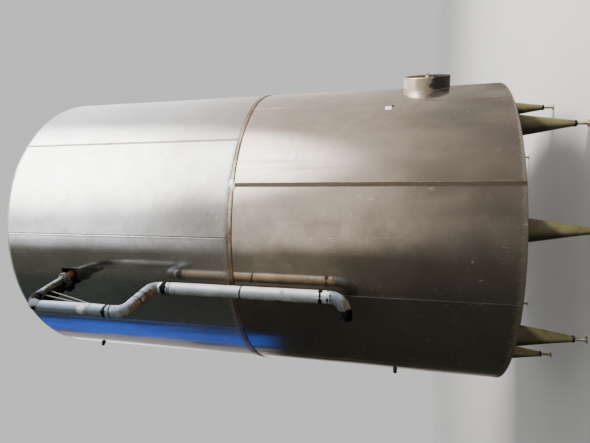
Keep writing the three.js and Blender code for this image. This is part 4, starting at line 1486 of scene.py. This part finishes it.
# The lower run's side to the wall is painted warm and pale: painted light that the wall throws back
lower_jacket = jacket_finish("lower_jacket", (246, 246, 246), (176, 182, 192), 0.0, 0.6,
                             sunny=(-0.26, -0.66), back=(232, 204, 168))
elbow_jacket = jacket_finish("elbow_jacket", (146, 160, 172), (104, 118, 136), -0.1, 0.5, under_elbow,
                             sunny=(-0.2, -0.7))
# The top elbow is painted dark all round: painted shade
top_elbow_finish = jacket_finish("top_elbow_finish", (54, 60, 72), (46, 52, 62), -0.3, 0.4, back=wall_side_shade)
arm_jacket = jacket_finish("arm_jacket", (170, 178, 196), (128, 136, 154), -0.4, 0.0, arm_underside_shade)
print("jackets: 6")

# %% The jacket's pieces
JACKET_RADIUS = 0.0556
TOP_BEND = 0.215
LAST_BEND = 0.130
LAST_TAIL = 0.190
BEND_TOP, BEND_FOOT = 4.072, 3.804
STEP = 0.008


def wrap_round(where, middle):
    """The turn away from a middle, kept between -pi and pi."""
    return (where - middle + math.pi) % (2 * math.pi) - math.pi


def jacket(name, corners, radii, stands_for, finish, laps=(), dents=(), mouth=None, wrinkles=0.0,
           first_share=1.0, damp_way=lee_way):
    """A tube along a route. Its radius has a slow waver, a step up after each lap (share of the length),
    a hollow at each dent (share of the length, turn, depth), and wrinkles sin(110 s) on one side. It can
    start at a share of its full radius. A mouth (radius, depth) turns it back inside itself at its end."""
    path, turn = route(corners, radii, STEP), full_turn(56)
    run = run_of(path)
    share = run / run[-1]
    radius = JACKET_RADIUS + 0.0004 * np.sin(2 * turn + 7 * run) + 0.0003 * np.sin(3 * turn - 19 * run)
    for lap in laps:
        before = np.clip((lap - share) * run[-1] / 0.0015, -40, 40)
        radius = radius + 0.0008 / (1 + np.exp(before)) * (share < lap + 0.5)
    for place, where, deep in dents:
        hollow = np.exp(-((wrap_round(turn, where) / 0.4) ** 2) - ((share - place) * run[-1] / 0.035) ** 2)
        radius = radius - deep * hollow
    radius = radius - wrinkles * (0.5 + 0.5 * np.sin(110 * run)) * np.clip(np.cos(turn), 0, 1)
    radius = radius + 0.0007 * np.exp(-((wrap_round(turn, 3.9) / 0.06) ** 2))
    radius = radius * (first_share + (1 - first_share) * share**2)
    outline, order = with_tips(rounds(radius, 56), len(path))
    if mouth is not None:
        back = len(path) - 1 - np.arange(round(mouth[1] / STEP))
        inner = rounds(np.full((len(back), 1), mouth[0]), 56)
        outline = np.concatenate([outline[:-1], inner, outline[-1:]])
        order = [*order[:-1], *back, back[-1]]
    tube = carried(outline, path, pipe_side, order)
    sides = {"damp_side": facing(path[order], tube[0], damp_way)}
    sides["wall_side"] = facing(path[order], tube[0], -pipe_way)
    return add_piece(name, tube, finish, stands_for, sides, sharp=50)


def upright(out, high, low):
    """Both ends of an upright piece of the pipe."""
    return [at_pipe(out, high), at_pipe(out, low)]


top_corner = at_pipe(RUN_OUT, ARM_HEIGHT)
last_corner = at_pipe(LOWER_OUT, ELBOW_HEIGHT)
top_route = [top_corner - pipe_way * TOP_BEND, top_corner, top_corner + DOWN * TOP_BEND]
offset_route = [*upright(RUN_OUT, BEND_TOP, BEND_HIGH), *upright(LOWER_OUT, BEND_LOW, BEND_FOOT + CLEAR)]
last_route = [last_corner - DOWN * LAST_BEND, last_corner, last_corner + lee_way * LAST_TAIL]
upper_run = upright(RUN_OUT, ARM_HEIGHT - TOP_BEND - CLEAR, BEND_TOP + CLEAR)
lower_run = upright(LOWER_OUT, BEND_FOOT, ELBOW_HEIGHT + LAST_BEND + CLEAR)
jacket("top_elbow_jacket", top_route, [TOP_BEND], "pipe_top_elbow", top_elbow_finish, first_share=0.70)
jacket("upper_run_jacket", upper_run, [], "pipe_upper_run", upper_jacket, (0.33,),
       ((0.52, 2.4, 0.005), (0.22, 4.9, 0.004)))
jacket("offset_bend_jacket", offset_route, [0.076, 0.076], "pipe_offset_bend", offset_jacket, (0.42,),
       ((0.5, 1.2, 0.005), (0.3, 2.6, 0.004)), wrinkles=0.003, damp_way=down_lee)
jacket("lower_run_jacket", lower_run, [], "pipe_lower_run", lower_jacket, (0.50,),
       ((0.3, 2.2, 0.004), (0.72, 2.6, 0.006), (0.86, 5.0, 0.004)))
jacket("last_elbow_jacket", last_route, [LAST_BEND], "pipe_last_elbow", elbow_jacket, mouth=(0.048, 0.080))
print("jacket pieces: 5")

# %% [markdown]
# ## Mastic, wires and rivets on the pipe
# Each joint of the jacket is smeared with black mastic, lumpy and a little askew, and smaller laps
# are tied with wire. A plain ring would end in a straight edge. Here the mastic's surface dips
# under the jacket where a ragged line says so, which leaves the torn edge that mastic has. Two
# rivets and the ring of a lost plug stand on the lower run.

# %% Joint bands and wires
def smeared(name, corners, radii, base, thickness, ragged, seed):
    """A skin of mastic along a route, over a tube whose radius goes from base[0] to base[1]. It stands
    proud by the thickness, and sinks below the tube within a ragged distance of its ends."""
    path, turn = route(corners, radii, 0.004), full_turn(72)
    run = run_of(path)
    torn = 0.28 * np.sin(3 * turn + seed) + 0.16 * np.sin(8 * turn + 2 * seed) + 0.1 * np.sin(17 * turn)
    inside = np.minimum(run, run[-1] - run) - ragged * (0.5 + torn)
    proud = 1 / (1 + np.exp(np.clip(-inside / 0.0018, -40, 40)))
    lumps = 0.25 * np.sin(5 * turn + 90 * run + seed) * np.sin(60 * run) + 0.15 * np.sin(13 * turn - 40 * run)
    sunk = base[0] + (base[1] - base[0]) * run / run[-1] - 0.003
    radius = sunk + (0.003 + thickness * (1 + lumps)) * proud
    outline, order = with_tips(rounds(radius, 72), len(path))
    return add_piece(name, carried(outline, path, pipe_side, order), black_mastic, sharp=60)


def ring_round(name, centre, way, half_width, radius, thickness, tilt, seed, finish=black_mastic):
    """Outline (along, out) carried round the way; along is shifted by tilt cos(turn), and shaken."""
    way = unit(way)
    side = unit(np.cross(way, pipe_way + np.array([0.01, 0.02, 0.3])))
    other = np.cross(way, side)
    turn = full_turn(72)[:, None]
    loop = superellipse(half_width, thickness, 14, 3)
    along = loop[None, :, 0] * (1 + 0.15 * np.sin(4 * turn + seed)) + tilt * np.cos(turn + seed)
    out = radius + loop[None, :, 1] * (1 + 0.1 * np.sin(7 * turn + seed))
    ring = np.cos(turn) * side + np.sin(turn) * other
    points = np.asarray(centre) + along[..., None] * way + out[..., None] * ring[:, None]
    return add_piece(name, (points, quilt(*points.shape[:2], True, True)), finish, sharp=60)


SPOT_AZIMUTH = -124.0
tail_route = [last_corner + lee_way * 0.085, last_corner + lee_way * (LAST_TAIL - 0.003)]
lip_at = last_corner + lee_way * (LAST_TAIL - 0.0085)
smeared("upper_joint_mastic", upright(RUN_OUT, 4.086, 4.030), [], (0.0556, 0.0556), 0.0015, 0.024, 1)
ring_round("upper_joint_wire", at_pipe(RUN_OUT, 4.008), DOWN, 0.0040, 0.0560, 0.0012, 0.012, 1)
smeared("offset_joint_mastic", upright(LOWER_OUT, 3.786, 3.714), [], (0.0562, 0.0562), 0.0036, 0.020, 2)
ring_round("offset_joint_wire", at_pipe(LOWER_OUT, 3.704), DOWN, 0.0024, 0.0572, 0.0020, 0.002, 2)
ring_round("offset_joint_wire_low", at_pipe(LOWER_OUT, 3.688), DOWN, 0.0020, 0.0572, 0.0018, 0.003, 3)
ring_round("lower_run_wire", at_pipe(LOWER_OUT, 2.988), DOWN, 0.0070, 0.0575, 0.0024, 0.003, 4)
smeared("last_elbow_mastic", upright(LOWER_OUT, 2.292, 2.240), [], (0.0560, 0.0560), 0.0030, 0.024, 5)
smeared("last_elbow_mastic_low", upright(LOWER_OUT, 2.216, 2.188), [], (0.0560, 0.0560), 0.0022, 0.018, 6)
smeared("elbow_tail_mastic", tail_route, [], (0.0562, 0.0565), 0.0042, 0.022, 7)
ring_round("elbow_tail_lip", lip_at, lee_way, 0.0080, 0.0562, 0.0020, 0.0, 11)
round_bend = math.radians(52)
joint_end = top_corner + pipe_way * TOP_BEND * (math.sin(round_bend) - 1)
joint_end = joint_end + DOWN * TOP_BEND * (1 - math.cos(round_bend))
joint_route = [at_pipe(RUN_OUT - TOP_BEND + 0.030, ARM_HEIGHT - 0.002), at_pipe(2.055, ARM_HEIGHT - 0.010)]
smeared("arm_joint_mastic", [*joint_route, joint_end], [0.12], (0.0395, 0.0450), 0.0050, 0.024, 8)
offset_way = unit(at_pipe(LOWER_OUT, BEND_LOW) - at_pipe(RUN_OUT, BEND_HIGH))
ring_round("offset_lap_ring", at_pipe(2.02, 3.8863), offset_way, 0.004, 0.0565, 0.0020, 0.006, 9)
ring_round("offset_lap_ring_low", at_pipe(1.93, 3.8835), offset_way, 0.003, 0.0565, 0.0018, 0.008, 10)
spot_at = at_pipe(RUN_OUT, 4.768) + level(SPOT_AZIMUTH) * 0.051
weld_lump("elbow_mastic_spot", spot_at, level(SPOT_AZIMUTH), (0, 0.3, -1), (0.026, 0.019, 0.0058),
          black_mastic, 6, 2.0)
print("mastic and wires: 14")

# %% Rivets and a plug's ring
rivet = [(0.0, 0.054), (0.0078, 0.054), (0.0078, 0.0578), (0.006, 0.0596), (0.003, 0.0604), (0.0, 0.0606)]
for name, azimuth, height in (("elbow_rivet_1", -90.7, 2.178), ("elbow_rivet_2", -132.7, 2.176)):
    rivet_shape = turned(rivet, at_pipe(LOWER_OUT, height), level(azimuth), 24)
    add_piece(name, rivet_shape, black_mastic)
plug_ring = [(0.008, 0.052), (0.015, 0.052), (0.016, 0.0562)]
plug_ring += [(0.0145, 0.0578), (0.012, 0.0578), (0.0105, 0.0562)]
ring_shape = turned(plug_ring, at_pipe(LOWER_OUT, 2.598), level(-82.4), 32, closed=True)
add_piece("lower_run_plug_ring", ring_shape, black_mastic)
print("rivets: 2, plug rings: 1")

# %% [markdown]
# ## Arm and brace rods
# The arm is thinner pipe in a jacket of its own, painted pale above as sunlight and dark below as
# shade, and it starts from a grey collar at the flange. Two thin galvanised rods run from it down to
# the upper run and keep the long elbow from sagging. Their ends are hammered flat, so the outline of
# each rod goes from round to wide and thin towards its ends. Clamps hold them.

# %% Arm
ARM_RADIUS = 0.0364
arm_start = FLANGE_FRONT + CLEAR
arm_stop = RUN_OUT - TOP_BEND - CLEAR
outline = [(0.0, arm_start + 0.026), *((ARM_RADIUS, x) for x in np.linspace(arm_start + 0.030, arm_stop, 48))]
outline += [(0.0, arm_stop)]


def ripples(turn, along):
    """Slow dents of the arm's jacket: two low sines."""
    return 0.0005 * np.sin(3 * turn + 25 * along) + 0.0004 * np.sin(2 * turn - 60 * along)


arm = turned(outline, arm_foot, pipe_way, 40, ripples)
middles = np.array([at_pipe(along, ARM_HEIGHT) for _, along in outline])
damp = {"damp_side": facing(middles, arm[0], unit(lee_way * 0.6 + DOWN))}
add_piece("arm_tube", arm, arm_jacket, "pipe_arm", damp)
collar = [(0.0, 0.0), (0.041, 0.0), (0.0425, 0.002), (0.0425, 0.024), (0.040, 0.029), (0.0, 0.030)]
collar_shape = turned(collar, at_pipe(arm_start, ARM_HEIGHT), pipe_way, 40)
add_piece("arm_collar", collar_shape, grey_flange)
print("arm length:", round(arm_stop - arm_start, 3))

# %% Brace rods
f = Finish("galvanised_rod")
crystals = f.node("ShaderNodeTexVoronoi", {"Vector": f.place(), "Scale": 110.0})["Color"]
crystal = f.node("ShaderNodeSeparateColor", {0: crystals})[0]
rust, rust_colour, pits = f.lay(rust_bloom, Size=0.03, Amount=0.35)
tone = f.coats((76, 76, 70),
    (crystal, 0.5, (52, 50, 43)),
    (rust, 0.7, rust_colour))
shine = 0.3 - rust * 0.3
rough = 0.5 + rust * 0.4
galvanised_rod = f.surface(tone, rough, shine, pits, depth=0.0004)


def brace(node, arm_out, run_height, aside, aside_low):
    """A rod whose outline goes from a circle of 5.8 mm radius to a flat of 20 by 6 mm at both ends."""
    start = at_pipe(arm_out, ARM_HEIGHT - 0.034, aside)
    stop = at_pipe(RUN_OUT - 0.052, run_height + 0.05, aside_low)
    path = route([start, stop], [], 0.006)
    run = np.linspace(0, 1, len(path))
    length = np.linalg.norm(stop - start)
    flat = np.exp(-((np.minimum(run, 1 - run) * length / 0.028) ** 4))[:, None]
    bow = 0.004 * np.sin(math.pi * run)[:, None] * pipe_side
    turn = full_turn(20)
    outline = [(0.0058 + 0.0042 * flat) * np.cos(turn), (0.0058 - 0.0028 * flat) * np.sin(turn)]
    outline, order = with_tips(np.stack(outline, -1), len(path))
    rod = carried(outline, path + bow, np.cross(stop - start, pipe_side), order)
    add_piece("dressed_" + node, rod, galvanised_rod, node, sharp=50)
    ring_round(node + "_clamp", at_pipe(arm_out, ARM_HEIGHT), pipe_way, 0.009, ARM_RADIUS + 0.0008, 0.0018,
               0.0, arm_out * 9, galvanised_rod)


brace("brace_rod_outer", 1.985, 4.160, -0.016, -0.004)
brace("brace_rod_inner", 1.905, 4.130, -0.017, 0.004)
ring_round("run_clamp", at_pipe(RUN_OUT, 4.215), DOWN, 0.007, 0.0558, 0.0012, 0.0, 13, galvanised_rod)
print("brace rods: 2, clamps: 3")

# %% [markdown]
# ## Ground
# The ground is one wide pale disc. It could end in a hard horizon, but then a dark line would cut
# the picture behind the legs. Instead it grows clear with its distance from the tank, so that it
# melts into the pale backdrop, and it glows faintly, so that it stays pale in the tank's shade.
# The mirror doesn't see it: the low part of the sky stands in.

# %% Ground
f = Finish("pale_ground")
mottle = f.lay(tarnish, Size=0.7, Seed=1.0)
gritty = f.noise(f.place(), 60.0, 4.0)
tone = f.blend(mottle * 0.5, (182, 181, 178), (174, 173, 169))
rough = 0.75 + gritty * 0.2
far_off = f.vector("LENGTH", f.place())
f.feed(f.shader.inputs["Alpha"], f.fade(far_off, 24.0, 6.5))
pale_ground = f.surface(tone, rough, 0.0, gritty, depth=0.0004, Emission_Color=(0.9, 0.9, 0.88, 1),
                        Emission_Strength=0.14)

turn = full_turn(96)
reach = np.array([0.0, 2.0, 5.0, 12.0, 30.0, 80.0])
points = on_tank(np.degrees(turn), reach[:, None], -0.0005)
ground_mesh = bpy.data.meshes.new("ground")
ground_mesh.from_pydata(points.reshape(-1, 3).tolist(), [], quilt(6, 96, loop_columns=True).tolist())
ground_mesh.materials.append(pale_ground)
edit = bmesh.new()
edit.from_mesh(ground_mesh)
bmesh.ops.remove_doubles(edit, verts=edit.verts, dist=1e-5)
bmesh.ops.recalc_face_normals(edit, faces=edit.faces)
if sum(face.normal.z for face in edit.faces) < 0:
    bmesh.ops.reverse_faces(edit, faces=edit.faces)
edit.to_mesh(ground_mesh)
edit.free()
ground = bpy.data.objects.new("ground", ground_mesh)
bpy.context.scene.collection.objects.link(ground)
ground.visible_glossy = False
print("ground disc:", reach[-1], "m")

# %% [markdown]
# ## Light and sky
# A mirror shows its surroundings, so the sky decides how the tank looks. Lamps alone would show
# as hard-edged bright shapes in the steel. Here one large soft lamp lights what is matt and isn't
# seen by the mirror, and the sky does the rest: bright on the right, with a soft glow high up
# that draws the upright glare on the upper course, dim on the left but bright straight overhead,
# with a pale patch behind the pipe. A narrow cool opening and a paler one beside it, behind on the
# left, draw the blue line down the far edge. Low down the sky is patchy, so that the lower course
# isn't one smooth tone. Matt pieces are lit by a calmer sky, and to the eye it is plain.

# %% Lamp
def soft_light(name, azimuth, elevation, distance, width, height, power, colour):
    """A rectangle of light that faces the tank's middle from an azimuth and an elevation."""
    lamp = bpy.data.lights.new(name, "AREA")
    lamp.shape = "RECTANGLE"
    lamp.size, lamp.size_y = width, height
    lamp.energy = power
    lamp.color = colour
    lifted = math.radians(elevation)
    back = level(azimuth) * math.cos(lifted) + np.array([0, 0, math.sin(lifted)])
    across = level(azimuth + 90)
    holder = bpy.data.objects.new(name, lamp)
    axes = Matrix(np.stack([across, np.cross(back, across), back], 1).tolist()).to_4x4()
    holder.matrix_world = Matrix.Translation(tuple(back * distance + np.array([0, 0, 3.0]))) @ axes
    holder.visible_glossy = False
    bpy.context.scene.collection.objects.link(holder)


soft_light("key_light", -28.0, 40.0, 10.0, 5.0, 5.0, 4400.0, (1.0, 0.98, 0.95))
print("lamps: 1")

# %% Sky
BRIGHT, BRIGHT_MATT = -18.0, -30.0
GLOW, GLOW_RISE = -62.0, 42
PATCH, COOL_GAP, PALE_GAP = -146.0, 130.0, 106.0

world = bpy.data.worlds.new("studio")
world.use_nodes = True
bpy.context.scene.world = world
w = Wiring(world.node_tree)
heading = w.node("ShaderNodeTexCoord")["Generated"]
rise = w.node("ShaderNodeSeparateXYZ", {0: heading})[2]
flat_heading = w.vector("NORMALIZE", w.vector("MULTIPLY", heading, (1.0, 1.0, 0.0)))
ragged = w.noise(w.vector("MULTIPLY", heading, (1.0, 1.0, 0.7)), 7.0, 4.0, 0.5)


def towards(azimuth, none, full):
    """1 within `full` degrees of an azimuth, and 0 beyond `none` degrees from it, with a ragged edge."""
    agreement = w.vector("DOT_PRODUCT", flat_heading, tuple(level(azimuth)))
    agreement = agreement + (ragged - 0.5) * 0.12
    return w.fade(agreement, math.cos(math.radians(none)), math.cos(math.radians(full)))


# The bright side, patchy low down, up to the glow
low_patches = w.noise(w.vector("MULTIPLY", heading, (1.0, 1.0, 2.0)), 3.4, 5.0, 0.8, 0.6)
low_tone = w.blend(w.fade(low_patches, 0.36, 0.62), (0.15, 0.14, 0.13, 1), (0.62, 0.53, 0.46, 1))
bright_side = w.blend(w.fade(rise, -0.22, 0.24), low_tone, (1.35, 1.20, 1.08, 1))
bright_side = w.blend(w.fade(rise, 0.22, 0.66), bright_side, (2.5, 2.55, 2.7, 1))
glow_lift = math.radians(GLOW_RISE)
glow_way = unit(level(GLOW) * math.cos(glow_lift) + np.array([0, 0, math.sin(glow_lift)]))
glow = w.fade(w.vector("DOT_PRODUCT", heading, tuple(glow_way)), 0.78, 1.0)
bright_side = w.blend(glow, bright_side, (14.0, 13.8, 13.5, 1))

# The dim side, with its pale patch, its two openings and its bright top
dim_side = w.blend(w.fade(rise, 0.1, 0.75), (0.032, 0.034, 0.023, 1), (0.08, 0.10, 0.09, 1))
half_way_up = w.fade(rise, 0.08, 0.2) * w.fade(rise, 0.56, 0.36)
pale_patch = w.blend(half_way_up, (0.22, 0.21, 0.16, 1), (0.60, 0.56, 0.46, 1))
dim_side = w.blend(towards(PATCH, 24, 4) * 0.6, dim_side, pale_patch)
high_enough = w.fade(rise, 0.24, 0.31)
dim_side = w.blend(towards(COOL_GAP, 13, 8) * high_enough, dim_side, (0.10, 0.29, 1.6, 1))
dim_side = w.blend(towards(PALE_GAP, 15, 10) * high_enough, dim_side, (0.58, 0.53, 0.53, 1))
dim_side = w.blend(w.fade(rise, 0.80, 0.97), dim_side, (2.6, 2.4, 2.2, 1))

# What the mirror sees, what lights matt pieces, and what the eye sees
seen_by_mirror = w.blend(towards(BRIGHT, 122, 108), dim_side, bright_side)
on_matt = w.blend(towards(BRIGHT_MATT, 125, 40), (0.10, 0.11, 0.12, 1), (0.62, 0.60, 0.57, 1))
ray = w.node("ShaderNodeLightPath")
seen = w.blend(ray["Is Glossy Ray"], on_matt, seen_by_mirror)
background = world.node_tree.nodes["Background"]
w.feed(background.inputs["Color"], w.blend(ray["Is Camera Ray"], seen, (0.72, 0.72, 0.71, 1)))
print("sky: a bright side, a dim side and a cool gap")
